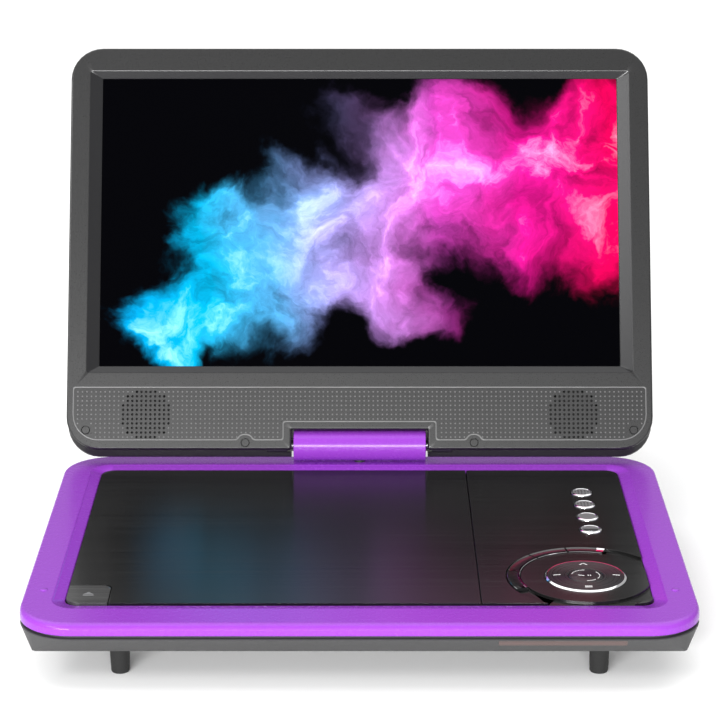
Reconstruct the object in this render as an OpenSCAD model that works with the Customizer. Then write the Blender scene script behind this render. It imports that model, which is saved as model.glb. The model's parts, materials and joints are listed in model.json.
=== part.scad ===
// Portable disc player with a swivelling lid screen.
// Frame: X to the right, Y to the back, Z up, millimetres. The origin lies on the table,
// midway between the left and right feet, under the middle of the base.

/* [Base] */
// Width of the base over its rim
base_w = 236.5; // [232:0.5:300]
// Depth of the base over its rim
base_d = 173; // [168:1:220]
// Height from the shell's underside to the top of the rim
base_h = 12.1; // [11.9:0.1:16]
// Space between the table and the shell's underside
ground_gap = 11.9; // [10:0.1:16]
// Corner radius of the rim, seen from above
corner_r = 19; // [14:1:22]
// Depth of the pod under the middle of the shell
pod_h = 8; // [7:0.5:9]
// How far the shell's sides draw in towards the bottom
side_draw = 5.35; // [3:0.1:6]
// How far the shell's front draws in towards the bottom
front_draw = 5.4; // [3:0.1:7]
// How far the shell's back draws in towards the bottom
back_draw = 1; // [0.5:0.1:2]
// Wall of the shell
shell_wall = 1.8; // [1.4:0.1:2.2]
// Floor of the shell and of its pod
floor_t = 1.5; // [1.2:0.1:1.8]

/* [Rim] */
// Height of the rim's skirt
skirt_h = 4.1; // [3.6:0.1:4.4]
// Wall of the rim's skirt
skirt_t = 1.8; // [1.2:0.1:2]
// Thickness of the rim's flat top
rim_t = 2.2; // [2:0.1:2.6]
// Width of the rim's flat at the sides
rim_side = 11.05; // [9:0.05:13]
// Width of the rim's flat at the back
rim_back = 10.8; // [10.5:0.1:13]
// Width of the rim's flat at the front
rim_front = 12.4; // [9:0.1:14]
// Depth of the rounded front edge
front_round = 2.8; // [1.5:0.1:3.5]
// Width of the sloping lip inside the rim at the sides
lip_side = 4.4; // [3:0.1:6]
// Width of the sloping lip at the back
lip_back = 5.4; // [4.5:0.1:7]
// Width of the sloping lip at the front
lip_front = 5.3; // [3:0.1:7]
// Drop of the sloping lip
lip_drop = 1.2; // [0.8:0.1:1.4]
// Open seam between the rim and the shell
seam_h = 1.2; // [0.8:0.1:1.4]

/* [Deck] */
// Drop of the deck below the rim's top
deck_drop = 0.4; // [0.3:0.1:0.8]
// Corner radius of the deck
deck_r = 5; // [3:0.5:8]
// Gap round the deck and its cover
deck_gap = 0.4; // [0.3:0.05:0.6]
// Gap behind the disc cover, where its back edge swings
swing_gap = 1.1; // [1.05:0.05:1.6]
// Thickness of the control panel
panel_t = 1.8; // [1.6:0.1:2]
// Width of the control panel
panel_w = 60.1; // [58:0.1:66]
// Thickness of the disc cover
cover_t = 1.6; // [1.4:0.1:1.6]
// Thickness of the deck tray
tray_t = 1.8; // [1.6:0.1:2]
// Radius of the disc well
well_r = 61.5; // [51:0.5:62]
// Depth of the disc well below the tray's top
well_h = 5.3; // [5.2:0.1:5.5]
// Width of the open button
open_w = 14.8; // [12:0.1:18]
// Length of the open button
open_d = 16.3; // [14:0.1:20]
// Travel of the open button
open_travel = 1; // [0.6:0.1:1.2]

/* [Keys] */
// Radius of the round keys
key_r = 4.25; // [3.5:0.05:5.2]
// Distance between the round keys
key_pitch = 13.3; // [12.5:0.1:14.5]
// Distance of the round keys from the deck's right edge
key_inset = 16.1; // [14:0.1:20]
// Distance of the first round key from the deck's back edge
key_start = 25.9; // [20:0.1:32]
// Gap round each key
key_gap = 0.2; // [0.15:0.05:0.3]
// Travel of the keys
key_travel = 0.3; // [0.2:0.05:0.35]
// How far the round keys stand above the deck
key_stand = 0.55; // [0.3:0.05:0.6]
// Distance of the navigation pad from the deck's right edge
pad_inset = 21.9; // [20:0.1:26]
// Distance of the navigation pad from the deck's front edge
pad_start = 24.3; // [22:0.1:30]
// Radius of the navigation pad
pad_r = 14.6; // [12:0.1:16]
// Radius of the centre key
centre_r = 6.1; // [5:0.1:7]
// Inner radius of the arc keys
arc_in = 23.5; // [21:0.1:24]
// Outer radius of the arc keys
arc_out = 28; // [26:0.1:29]

/* [Lid] */
// Thickness of the lid from face to back
lid_t = 12; // [10:0.5:12]
// Distance of the lid's face in front of the tilt axis
face_out = 6; // [5.5:0.1:6]
// How far the lid's face reaches below the tilt axis
face_below = 2; // [1:0.1:2]
// How far the lid's back reaches below the tilt axis
back_below = 4.5; // [2:0.1:4.6]
// Corner radius of the lid
lid_r = 13; // [8:1:16]
// Lean of the lid behind upright at rest
lean = 24.7; // [0:0.1:45]
// Wall of the lid's two shells
lid_wall = 1.6; // [1.2:0.1:2]
// Thickness of the bezel's face
bezel_t = 2.2; // [1.8:0.1:2.6]
// Width of the visible screen
screen_w = 210.5; // [160:0.5:212]
// Height of the visible screen
screen_h = 118.8; // [90:0.1:122]
// Height of the screen's lower edge above the tilt axis
screen_low = 31.7; // [28:0.1:36]
// Width of the sloping frame beside the screen
bevel_side = 5.05; // [2:0.05:6]
// Height of the sloping frame above and below the screen
bevel_end = 2.9; // [1.5:0.1:4]
// Radius of each speaker
speaker_r = 10; // [8:0.5:10.5]
// Distance of each speaker from the middle
speaker_x = 86; // [60:0.1:92]
// Height of the speakers above the tilt axis
speaker_up = 11.9; // [10:0.1:14]
// Radius of a hole in the speaker grille
hole_r = 0.5; // [0.4:0.05:0.6]
// Distance between the holes of the grille
hole_pitch = 1.83; // [1.6:0.01:2]

/* [Hinge] */
// Distance of both hinge axes from the back of the base
hinge_in = 5.2; // [5:0.1:6]
// Height of the tilt axis above the rim
hinge_up = 6.4; // [6.4:0.1:8]
// Radius of the hinge barrel
barrel_r = 6.1; // [5.5:0.1:6.1]
// Length of the hinge barrel
barrel_w = 53.2; // [44:0.1:70]
// Gap beside the hinge barrel
barrel_gap = 0.9; // [0.6:0.1:1.5]
// Radius of the tilt pins
pin_r = 1.5; // [1.2:0.05:1.8]
// Radius of the swivel post
post_r = 2.2; // [1.8:0.05:2.65]
// Running clearance round pins and posts
run = 0.05; // [0.03:0.01:0.08]

/* [Drive] */
// Radius of the boss that centres the disc
hub_r = 7.4; // [7:0.05:7.45]
// Travel of the pickup sled
sled_travel = 30; // [20:1:30]
// Radius of the guide rods
rod_r = 1.5; // [1:0.1:1.8]
// Radius of the lead screw
screw_r = 1.2; // [1:0.1:1.4]
// Width of the battery pack
battery_w = 56; // [40:1:56]
// Length of the battery pack
battery_d = 100; // [70:1:100]

/* [Sockets] */
// Radius of the bore of an audio jack
jack_r = 1.78; // [1.76:0.01:1.8]
// Radius of the volume wheel
wheel_r = 9; // [8:0.1:9.4]

/* [Feet and screws] */
// Distance of the feet from the middle
foot_x = 83.6; // [60:0.1:90]
// Distance of the front feet from the front of the base
foot_front = 16; // [14:0.5:19]
// Distance of the back feet from the back of the base
foot_back = 13; // [11:0.5:14]
// Radius of a foot at the shell
foot_top_r = 3.7; // [3:0.05:4.5]
// Radius of a foot at the table
foot_end_r = 3.25; // [2.5:0.05:4]
// Radius of the case screws
case_screw_r = 1.2; // [1:0.05:1.4]

/* [Hidden] */
$fn = 64;
eps = 0.01;
// Levels, from the table up
pod_z = ground_gap - pod_h;
pod_floor = pod_z + floor_t;
shell_z = ground_gap;
shell_floor = shell_z + floor_t;
rim_z = ground_gap + base_h;
skirt_z = rim_z - skirt_h;
shell_top = skirt_z - seam_h;
deck_z = rim_z - deck_drop;
tray_z = deck_z - panel_t;
tray_low = tray_z - tray_t;
cover_z = deck_z - cover_t;
well_z = tray_z - well_h;
well_t = 1.2;
well_wall = 1.2;
well_low = well_z - well_t;
// Outline of the base and of the deck
half_w = base_w / 2;
half_d = base_d / 2;
deck_x = half_w - rim_side - lip_side;
deck_back = half_d - rim_back - lip_back;
deck_front = -half_d + front_round + rim_front + lip_front;
deck_y = (deck_back + deck_front) / 2;
deck_d = deck_back - deck_front;
seam_x = deck_x - panel_w;
seam_gap = 0.5;
cover_mid = (seam_x - seam_gap - deck_x) / 2;
edge_round = 0.9;
lip_fit = 0.2;
register_t = 1.3;
register_in = skirt_t + lip_fit + register_t;
tray_fit = 0.4;
// Pod under the shell
pod_x = half_w - 14.25;
pod_front = -half_d + 26.5;
pod_back = half_d - 20.5;
pod_taper = 4;
// Disc cover and its hinge
cover_axis_in = 4.6;
cover_axis_y = deck_back - cover_axis_in;
cover_axis_z = tray_z - 1.2;
cover_pin_r = 0.7;
knuckle_r = 1.5;
knuckle_w = 4;
knuckle_inset = 3.8;
knuckle_gap = 0.5;
ear_w = 2.8;
ear_half = 2.2;
ear_drop = 1.2;
ear_r = cover_z - cover_axis_z - 0.1;
slot_in = 0.4;
slot_back = deck_back + swing_gap + 1.2;
// Open button and latch
button_x = -deck_x + open_w;
button_y = deck_front + open_d;
stem_margin = 3.8;
latch_z = 16.6 + rim_z - 24;
latch_h = 1.6;
latch_w = 4;
latch_y = deck_front + 8;
latch_end = button_x + 3.6;
tongue_w = 2;
tongue_d = 6;
// Keys and boards
key_x = deck_x - key_inset;
key_y = deck_back - key_start;
pad_x = deck_x - pad_inset;
pad_y = deck_front + pad_start;
board_t = 1;
key_board_z = tray_low - 0.8;
key_board_top = key_board_z + board_t;
dome_h = 0.5;
dome_r = 2;
key_low = key_board_top + dome_h + 0.1 + key_travel;
flange_t = 0.5;
flange_w = 0.75;
arc_stand = 0.3;
arc_edges = [70, 101, 133, 169, 206];
arc_split = 1.4;
channel_in = arc_in - 0.3;
channel_out = arc_out + 0.6;
channel_t = 1;
window_in = 4.8;
window_x0 = seam_x + window_in;
window_x1 = deck_x - 3.4;
window_y0 = deck_front + 4.6;
window_y1 = deck_back - 12.3;
board_gap = 0.6;
main_z = key_board_z - 1.4;
main_top = main_z + board_t;
main_x0 = seam_x + 1.3;
main_x1 = half_w - 8.45;
main_y0 = -half_d + 26.5;
main_y1 = half_d - 32.5;
// Sockets along the right side
side_z = shell_floor + 2.2;
side_in = side_draw * (shell_top - side_z) / (shell_top - shell_z);
side_x = half_w - side_in;
wall_x = half_w - side_draw - shell_wall - 0.1;
jack_ys = [-18, -8];
jack_d = 12.5;
jack_w = 6.4;
nose_r = 2.5;
usb_y = 6;
card_y = 28;
dc_y = 47;
wheel_y = -34;
wheel_t = 2;
wheel_show = 0.9;
wheel_x = side_x + wheel_show - wheel_r;
switch_y = -50;
// Drive
drive_x = cover_mid;
drive_y = deck_y;
plate_z = well_low - 1.6;
plate_t = 1;
rod_z = plate_z - 2.7;
rod_y = 17;
rod_x0 = -22;
rod_x1 = 64.5;
holder_t = 2;
lens_x = 24;
sled_half = 8;
sled_low = rod_z - 2.2;
sled_top = plate_z - 0.5;
lead_y = -23.5;
lens_half = 4.5;
lens_w = 8;
hub_hole_r = 12;
platter_r = 14;
platter_z = well_z + 0.7;
platter_t = 1.4;
pad_t = 0.4;
boss_h = 2;
spindle_r = 1;
motor_z = plate_z - 3.2;
grommet_x = [-26, 63.5];
grommet_y = 29;
grommet_post_r = 1.4;
// Hinges
hinge_y = half_d - hinge_in;
hinge_z = rim_z + hinge_up;
bracket_t = 1.2;
bracket_z = tray_low - bracket_t;
bracket_y0 = slot_back + 1;
bracket_y1 = half_d - skirt_t - 0.2;
clip_r = post_r + 1.2;
clip_t = 1.2;
clip_z = bracket_z - clip_t - 0.1;
cable_r = post_r - 1;
core_half = 2.9;
barrel_wall = 1.6;
// Lid, in its own frame: X right, Y to the back, Z up the lid, from the tilt axis
lid_w = base_w - 0.5;
lid_up = base_d - hinge_in - 4.9;
lid_half = lid_w / 2;
face_y = -face_out;
back_y = lid_t - face_out;
bezel_y = face_y + bezel_t;
split_y = -1;
notch_half = barrel_w / 2 + barrel_gap;
notch_up = 5.95;
notch_back = barrel_r + 0.5;
rear_half = barrel_w / 2 + 0.35;
rear_step = -2;
back_round = 16;
back_edge = 1.5;
split_in = 0.06;
lug_r = 2.7;
lug_x0 = notch_half + lid_wall + 0.1;
lug_w = 8;
panel_glass_t = 1.2;
backlight_t = 2.8;
cap_r = 1.8;
cap_t = 0.8;
lid_screws_at = [[notch_half + 18.5, 0.5], [lid_half - 7.8, 5.6]];
lid_screw_r = 0.9;
boss_r = 2.3;
// Feet, bumpers and screws
foot_front_y = -half_d + foot_front;
foot_back_y = half_d - foot_back;
bumper_x = half_w - 6.85;
bumper_y = -half_d + 31.6;
bumper_r = 1.4;
bumper_h = 0.35;
screw_at = [[half_w - 11.25, -half_d + 14.5], [half_w - 11.25, half_d - 22], [0, -half_d + 14.5]];
screw_head_r = 2.4;
screw_boss_r = 3.4;
bracket_screw_r = 1;
bracket_head_r = 2;
post_small_r = 1.5;
foot_stem_r = 1.95;
foot_lock_r = 2.6;
battery_right = pod_x - pod_taper - 2;
battery_h = 8;
// Sockets and the infra-red window
ir_x = seam_x + 27;
ir_half = 22;
ir_bore_r = 2.6;
usb_half = 6.6;
usb_inner = 6.25;
usb_h = 5.2;
card_half = 13.4;
card_mouth = 13;
card_inner = 12.2;
switch_half = 5.5;
switch_inner = 4.4;
// Disc drive parts
motor_r = 13;
motor_wall = 1.2;
motor_post_r = 2.6;
hub_base_r = 10.5;
pad_in_r = 10;
ball_r = 1.5;
ball_in = 1.7;
ball_up = 0.9;
holder_half = 2.4;
collar_half = 2.6;
grommet_r = 2.9;
grommet_neck_r = 2.2;
lens_r = 2.6;
lens_sink = 0.6;
sled_motor_r = 3.9;
sled_motor_l = 13;
// Screen parts
screen_lap = 1.8;
backlight_lap = 2.6;
board_half = 48;

// ---- Shapes that repeat

module outline(w, d, r) {
    square([w - 2 * r, d], center = true);
    square([w, d - 2 * r], center = true);
    for (x = [-1, 1], y = [-1, 1])
        translate([x * (w / 2 - r), y * (d / 2 - r)]) circle(r);
}

module slab(w, d, r, z0, z1) {
    translate([0, 0, z0]) linear_extrude(z1 - z0) outline(w, d, r);
}

module box(x0, x1, y0, y1, z0, z1) {
    translate([x0, y0, z0]) cube([x1 - x0, y1 - y0, z1 - z0]);
}

module rod(r, x0, x1) {
    translate([x0, 0, 0]) rotate([0, 90, 0]) cylinder(r = r, h = x1 - x0);
}

// A plate in the lid's own frame, lying in X and Z
module lid_slab(half, low, high, r, y0, y1) {
    translate([0, y1, (low + high) / 2]) rotate([90, 0, 0])
        linear_extrude(y1 - y0) outline(2 * half, high - low, r);
}

module on_lid() {
    translate([0, hinge_y, hinge_z]) rotate([-lean, 0, 0]) children();
}

// A cylinder along Y in the lid's own frame
module lid_round(x, up, r, y0, y1) {
    translate([x, y1, up]) rotate([90, 0, 0]) cylinder(r = r, h = y1 - y0);
}

module wedge(from, to, reach) {
    span = to - from;
    polygon(concat([[0, 0]],
        [for (i = [0:4]) reach * [cos(from + i * span / 4), sin(from + i * span / 4)]]));
}

module arc_piece(r0, r1, from, to, z0, z1) {
    translate([pad_x, pad_y, z0]) linear_extrude(z1 - z0) intersection() {
        difference() {
            circle(r1, $fn = 128);
            circle(r0, $fn = 128);
        }
        wedge(from, to, 2 * r1);
    }
}

module deck_area(x0, x1, z0, z1) {
    intersection() {
        translate([0, deck_y, 0]) slab(2 * deck_x, deck_d, deck_r, z0, z1);
        box(x0, x1, -base_d, base_d, z0 - 1, z1 + 1);
    }
}

module at_drive() {
    translate([drive_x, drive_y, 0]) children();
}

// ---- Base casing

module shell_form(inset, low_inset, z0, z1) {
    hull() {
        slab(base_w - 2 * inset, base_d - 2 * inset, corner_r - inset, z1 - 0.3, z1);
        box(-half_w + side_draw + low_inset, half_w - side_draw - low_inset,
            -half_d + front_draw + low_inset, half_d - back_draw - low_inset, z0, z0 + 0.3);
    }
}

module pod_form(inset, z0, z1) {
    hull() {
        box(-pod_x + inset, pod_x - inset, pod_front + inset, pod_back - inset, z1 - 0.3, z1);
        box(-pod_x + pod_taper + inset, pod_x - pod_taper - inset, pod_front + pod_taper + inset,
            pod_back - pod_taper - inset, z0, z0 + 0.3);
    }
}

module screw_spots() {
    for (p = screw_at) {
        translate([p[0], p[1], 0]) children();
        if (p[0] > 0) translate([-p[0], p[1], 0]) children();
    }
}

module foot_spots() {
    for (x = [-foot_x, foot_x], y = [foot_front_y, foot_back_y])
        translate([x, y, 0]) children();
}

module side_cuts() {
    for (y = jack_ys) translate([0, y, side_z]) rod(nose_r + 0.2, wall_x - 1, half_w);
    translate([0, dc_y, side_z]) rod(nose_r + 0.2, wall_x - 1, half_w);
    box(wall_x - 1, half_w, usb_y - usb_half - 0.3, usb_y + usb_half + 0.3, shell_floor,
        shell_floor + usb_h + 0.2);
    box(wall_x - 1, half_w, card_y - card_mouth, card_y + card_mouth, side_z - 0.2, side_z + 2.4);
    translate([wheel_x, wheel_y, side_z - 1.4]) cylinder(r = wheel_r + 0.5, h = 2.8);
    box(wall_x - 1, half_w, switch_y - switch_half - 0.1, switch_y + switch_half + 0.1,
        side_z - 1.4, side_z + 1.4);
}

module bottom_shell() {
    color("dimgray") difference() {
        union() {
            difference() {
                union() {
                    shell_form(0, 0, shell_z, shell_top);
                    slab(base_w - 2 * (skirt_t + lip_fit), base_d - 2 * (skirt_t + lip_fit),
                        corner_r - skirt_t - lip_fit, shell_top - 1, tray_low - 0.2);
                    pod_form(0, pod_z, shell_z + floor_t / 2);
                }
                shell_form(register_in + 0.4, shell_wall, shell_floor, shell_top - 0.6);
                slab(base_w - 2 * register_in, base_d - 2 * register_in, corner_r - register_in,
                    shell_top - 0.8, tray_low);
                pod_form(floor_t, pod_floor, shell_floor + 1);
            }
            screw_spots() translate([0, 0, shell_floor - eps])
                cylinder(r = screw_boss_r, h = tray_low - shell_floor);
        }
        screw_spots() {
            cylinder(r = case_screw_r + 0.15, h = rim_z);
            cylinder(r = screw_head_r + 0.2, h = shell_z + 1.6);
        }
        foot_spots() translate([0, 0, shell_z - 1]) cylinder(r = foot_stem_r + run, h = floor_t + 2);
        side_cuts();
        box(-notch_half - 4, notch_half + 4, bracket_y0 - 0.4, half_d - skirt_t,
            shell_top, rim_z);
        translate([0, hinge_y, clip_z - 0.5]) cylinder(r = clip_r + 0.4, h = rim_z);
        ir_pocket(0.1);
        translate([ir_x, -half_d, side_z]) rotate([-90, 0, 0]) cylinder(r = ir_bore_r, h = 12);
    }
}

module top_rim() {
    color("mediumorchid") difference() {
        hull() {
            slab(base_w, base_d, corner_r, skirt_z, rim_z - front_round / 1.4);
            translate([0, (front_round - edge_round) / 2, 0])
                slab(base_w - 2 * edge_round, base_d - edge_round - front_round,
                    corner_r - edge_round, rim_z - eps, rim_z);
        }
        slab(base_w - 2 * skirt_t, base_d - 2 * skirt_t, corner_r - skirt_t,
            skirt_z - 1, rim_z - rim_t);
        translate([0, (deck_back + swing_gap + deck_front - deck_gap) / 2, 0])
            slab(2 * (deck_x + deck_gap), deck_d + swing_gap + deck_gap, deck_r, skirt_z, rim_z + 1);
        lip_slope();
        translate([0, hinge_y, skirt_z]) cylinder(r = post_r + 0.4, h = 2 * skirt_h);
    }
}

module lip_slope() {
    y0 = deck_front - lip_front;
    y1 = deck_back + lip_back;
    hull() {
        translate([0, (y0 + y1) / 2, 0])
            slab(2 * (deck_x + lip_side), y1 - y0, deck_r + 3, rim_z, rim_z + 1, $fn = 32);
        translate([0, (deck_back + swing_gap + deck_front - deck_gap) / 2, 0])
            slab(2 * (deck_x + deck_gap), deck_d + swing_gap + deck_gap, deck_r,
                rim_z - lip_drop, rim_z, $fn = 32);
    }
}

module deck_tray() {
    color([0.1, 0.1, 0.11]) difference() {
        union() {
            cut_tray();
            for (s = [-1, 1]) translate([ear_at(s), cover_axis_y, cover_axis_z]) rod(ear_r, 0, ear_w);
        }
        translate([0, cover_axis_y, cover_axis_z])
            rod(cover_pin_r + run, -deck_x + 0.6, seam_x - seam_gap - 0.6);
    }
}

module tray_body() {
    slab(base_w - 2 * (skirt_t + tray_fit), base_d - 2 * (skirt_t + tray_fit),
        corner_r - skirt_t - tray_fit, tray_low, tray_z);
    at_drive() translate([0, 0, well_low]) cylinder(r = well_r + well_wall, h = tray_z - well_low,
        $fn = 128);
    for (s = [-1, 1]) translate([ear_at(s), cover_axis_y - ear_half, tray_low - ear_drop])
        cube([ear_w, ear_half, ear_drop + eps]);
    at_drive() for (x = grommet_x, y = [-grommet_y, grommet_y])
        translate([x, y, plate_z - 2]) cylinder(r = grommet_post_r,
            h = (norm([x, y]) < well_r ? well_low : tray_low) - plate_z + 2 + eps);
    for (y = [-2.4, 2.4]) box(-deck_x + 2, latch_end - 2, latch_y + y - 0.3,
        latch_y + y + 0.3, latch_z, tray_low + eps);
    for (x = [main_x0 + 2, main_x1 - 4], y = [main_y0 + 3, main_y1 - 3])
        translate([x, y, main_top]) cylinder(r = post_small_r, h = tray_low - main_top + eps);
}

module cut_tray() {
    difference() {
        tray_body();
        at_drive() {
            translate([0, 0, well_z]) cylinder(r = well_r, h = panel_t + well_h, $fn = 128);
            translate([0, 0, well_low - 1]) cylinder(r = hub_hole_r, h = well_t + 2);
            box(lens_x - lens_half - 1, lens_x + sled_travel + lens_half + 1,
                -lens_w - 0.6, lens_w + 0.6, well_low - 1, well_z + 1);
        }
        box(-deck_x - deck_gap, seam_x, cover_axis_y + slot_in, slot_back, tray_low - 4, tray_z + 1);
        for (s = [-1, 1]) {
            translate([ear_at(s), cover_axis_y, tray_low - 4])
                cube([ear_w, slot_back - cover_axis_y, 4 + tray_t + 1]);
            translate([knuckle_at(s), cover_axis_y, 0])
                box(-knuckle_w / 2 - knuckle_gap, knuckle_w / 2 + knuckle_gap, -ear_half,
                    slot_back - cover_axis_y, tray_low - 4, tray_z + 1);
        }
        box(-deck_x - 0.2, button_x + 0.4, deck_front - 0.2, button_y + 0.4,
            tray_low - 1, tray_z + 1);
        box(latch_end - 0.2, latch_end + tongue_w + 1.2, latch_y - tongue_d / 2 - 0.8,
            latch_y + tongue_d / 2 + 0.8, tray_low - 1, tray_z + 1);
        box(window_x0, window_x1, window_y0, window_y1, tray_low - 1, tray_z + 1);
        screw_spots() cylinder(r = case_screw_r + 0.02, h = tray_z - 0.5);
        bracket_spots() cylinder(r = bracket_screw_r + 0.02, h = tray_z - 0.3);
        translate([0, hinge_y, 0]) cylinder(r = post_r + 0.4, h = rim_z);
    }
}

// Middle of each knuckle of the disc cover, left and right
function knuckle_at(s) = s < 0 ? -deck_x + knuckle_inset + knuckle_w / 2
    : seam_x - seam_gap - knuckle_inset - knuckle_w / 2;

// Left edge of each ear that carries a pin of the disc cover
function ear_at(s) = knuckle_at(s) + s * (knuckle_w / 2 + knuckle_gap) - (s < 0 ? ear_w : 0);

module control_panel() {
    color([0.09, 0.09, 0.1]) difference() {
        union() {
            deck_area(seam_x, deck_x, tray_z, deck_z);
            for (x = [window_x0 + 2.6, window_x1 - 2.6], y = [window_y0 + 2.6, window_y1 - 2.6])
                translate([x, y, key_board_top]) cylinder(r = post_small_r, h = tray_z - key_board_top + eps);
        }
        for (i = [0:3]) translate([key_x, key_y - i * key_pitch, tray_z - 1])
            cylinder(r = key_r + key_gap, h = panel_t + 2);
        translate([pad_x, pad_y, tray_z - 1]) cylinder(r = pad_r + key_gap, h = panel_t + 2);
        translate([pad_x, pad_y, deck_z - channel_t]) difference() {
            cylinder(r = channel_out, h = channel_t + 1, $fn = 128);
            translate([0, 0, -1]) cylinder(r = channel_in, h = channel_t + 3, $fn = 128);
        }
        arc_piece(arc_in - key_gap, arc_out + key_gap, arc_edges[0] - 1, arc_edges[4] + 1,
            tray_z - 1, deck_z + 1);
    }
}

module ir_pocket(gap) {
    slope = atan(front_draw / (shell_top - shell_z));
    translate([ir_x, -half_d, shell_top - 0.6]) rotate([slope, 0, 0])
        box(-ir_half - gap, ir_half + gap, -1, 1 + gap, -3.4 - gap, -0.2 + gap);
}

module ir_window() {
    color([0.35, 0.2, 0.2]) intersection() {
        ir_pocket(0);
        shell_form(0, 0, shell_z, shell_top);
    }
}

module ir_receiver() {
    color("black") translate([ir_x, -half_d + 8, side_z]) {
        box(-2.6, 2.6, 0, 3, -2.1, 3.5);
        rotate([90, 0, 0]) cylinder(r = 2, h = 1.6);
    }
}

module rubber_feet() {
    color([0.13, 0.13, 0.13]) foot_spots() {
        cylinder(r1 = foot_end_r, r2 = foot_top_r, h = shell_z);
        cylinder(r = foot_stem_r, h = shell_z + floor_t + 0.6);
        translate([0, 0, shell_floor]) cylinder(r = foot_lock_r, h = 0.9);
    }
}

module rim_bumpers() {
    color("mediumorchid") for (s = [-1, 1]) translate([s * bumper_x, bumper_y, rim_z])
        cylinder(r1 = bumper_r, r2 = bumper_r - 0.3, h = bumper_h);
}

module case_screws() {
    color("silver") {
        screw_spots() {
            translate([0, 0, shell_z + 0.3]) cylinder(r = screw_head_r, h = 1.3);
            translate([0, 0, shell_z + 0.3]) cylinder(r = case_screw_r, h = tray_z - shell_z - 1);
        }
        bracket_spots() {
            translate([0, 0, bracket_z - 1]) cylinder(r = bracket_head_r, h = 1);
            translate([0, 0, bracket_z - 1]) cylinder(r = bracket_screw_r, h = 1 + bracket_t + 1.4);
        }
    }
}

// ---- Disc cover and its latch

module disc_cover() {
    color([0.1, 0.1, 0.11]) {
        difference() {
            deck_area(-deck_x, seam_x - seam_gap, cover_z, deck_z);
            box(-deck_x - 1, button_x + deck_gap, deck_front - 1, button_y + deck_gap,
                cover_z - 1, deck_z + 1);
        }
        for (s = [-1, 1]) translate([knuckle_at(s), cover_axis_y, cover_axis_z]) {
            rod(knuckle_r, -knuckle_w / 2, knuckle_w / 2);
            box(-knuckle_w / 2, knuckle_w / 2, -knuckle_r, knuckle_r, 0,
                cover_z - cover_axis_z + eps);
            if (s < 0) rod(cover_pin_r, -knuckle_w / 2 - 2.9, 0);
            else rod(cover_pin_r, 0, knuckle_w / 2 + 2.9);
        }
        box(latch_end + 0.2, latch_end + 0.2 + tongue_w, latch_y - tongue_d / 2,
            latch_y + tongue_d / 2, latch_z + 0.6, cover_z + eps);
    }
}

module open_button() {
    color([0.12, 0.12, 0.13]) {
        difference() {
            deck_area(-deck_x, button_x, cover_z, deck_z);
            box(-deck_x - 1, button_x + 1, button_y, base_d, cover_z - 1, deck_z + 1);
        }
        box(-deck_x + stem_margin, button_x - stem_margin, latch_y - 1.8, latch_y + 1.8,
            latch_z + latch_h + open_travel + 0.1, cover_z + eps);
    }
}

module cover_latch() {
    color("silver") box(-deck_x + stem_margin, latch_end, latch_y - latch_w / 2,
        latch_y + latch_w / 2, latch_z, latch_z + latch_h);
}

module latch_spring() {
    color("silver") box(-deck_x + 2.1, -deck_x + 2.4, latch_y - 1.5, latch_y + 1.5,
        latch_z, tray_low);
}

// ---- Keys

module round_key(i) {
    color("silver") translate([key_x, key_y - i * key_pitch, key_low]) {
        cylinder(r = key_r, h = deck_z + key_stand - key_low);
        cylinder(r = key_r + flange_w, h = flange_t);
    }
}

module round_key_1() { round_key(0); }
module round_key_2() { round_key(1); }
module round_key_3() { round_key(2); }
module round_key_4() { round_key(3); }

module nav_pad() {
    color([0.1, 0.1, 0.1]) translate([pad_x, pad_y, key_low]) difference() {
        union() {
            cylinder(r = pad_r, h = deck_z + key_stand - key_low);
            cylinder(r = pad_r + flange_w, h = flange_t);
        }
        translate([0, 0, -1]) cylinder(r = centre_r + key_gap, h = 8);
        translate([0, 0, -1]) cylinder(r = centre_r + key_gap + flange_w + 0.2,
            h = 1 + flange_t + key_travel + 0.2);
    }
}

module centre_key() {
    color([0.1, 0.1, 0.1]) translate([pad_x, pad_y, key_low]) {
        cylinder(r = centre_r, h = deck_z + key_stand - key_low);
        cylinder(r = centre_r + flange_w, h = flange_t);
    }
}

module arc_key(i) {
    color([0.12, 0.12, 0.12]) {
        from = arc_edges[i] + arc_split / 2;
        to = arc_edges[i + 1] - arc_split / 2;
        arc_piece(arc_in, arc_out, from, to, key_low, deck_z + arc_stand);
        arc_piece(arc_in - 0.6, arc_out + 0.6, from, to, key_low, key_low + flange_t);
    }
}

module arc_key_1() { arc_key(0); }
module arc_key_2() { arc_key(1); }
module arc_key_3() { arc_key(2); }
module arc_key_4() { arc_key(3); }

// ---- Boards, battery and sockets

function arc_mid(i) = (arc_edges[i] + arc_edges[i + 1]) / 2;

module key_board() {
    color("darkgreen") box(window_x0 + board_gap, window_x1 - board_gap, window_y0 + board_gap,
        window_y1 - board_gap, key_board_z, key_board_top);
}

module key_domes() {
    color("gainsboro") {
        for (i = [0:3]) translate([key_x, key_y - i * key_pitch, key_board_top])
            cylinder(r = dome_r, h = dome_h);
        translate([pad_x, pad_y, key_board_top]) {
            cylinder(r = dome_r, h = dome_h);
            for (a = [0:90:270]) rotate(a) translate([(pad_r + centre_r) / 2 + 1, 0, 0])
                cylinder(r = dome_r, h = dome_h);
            for (i = [0:3]) rotate(arc_mid(i)) translate([(arc_in + arc_out) / 2, 0, 0])
                cylinder(r = dome_r, h = dome_h);
        }
    }
}

module main_board() {
    color("darkgreen") difference() {
        box(main_x0, main_x1, main_y0, main_y1, main_z, main_top);
        translate([wheel_x, wheel_y, 0]) cylinder(r = pin_r + run, h = rim_z);
        box(main_x1 - 13, main_x1 + 1, usb_y - usb_half - 0.6, usb_y + usb_half + 0.6, 0, rim_z);
    }
}

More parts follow.
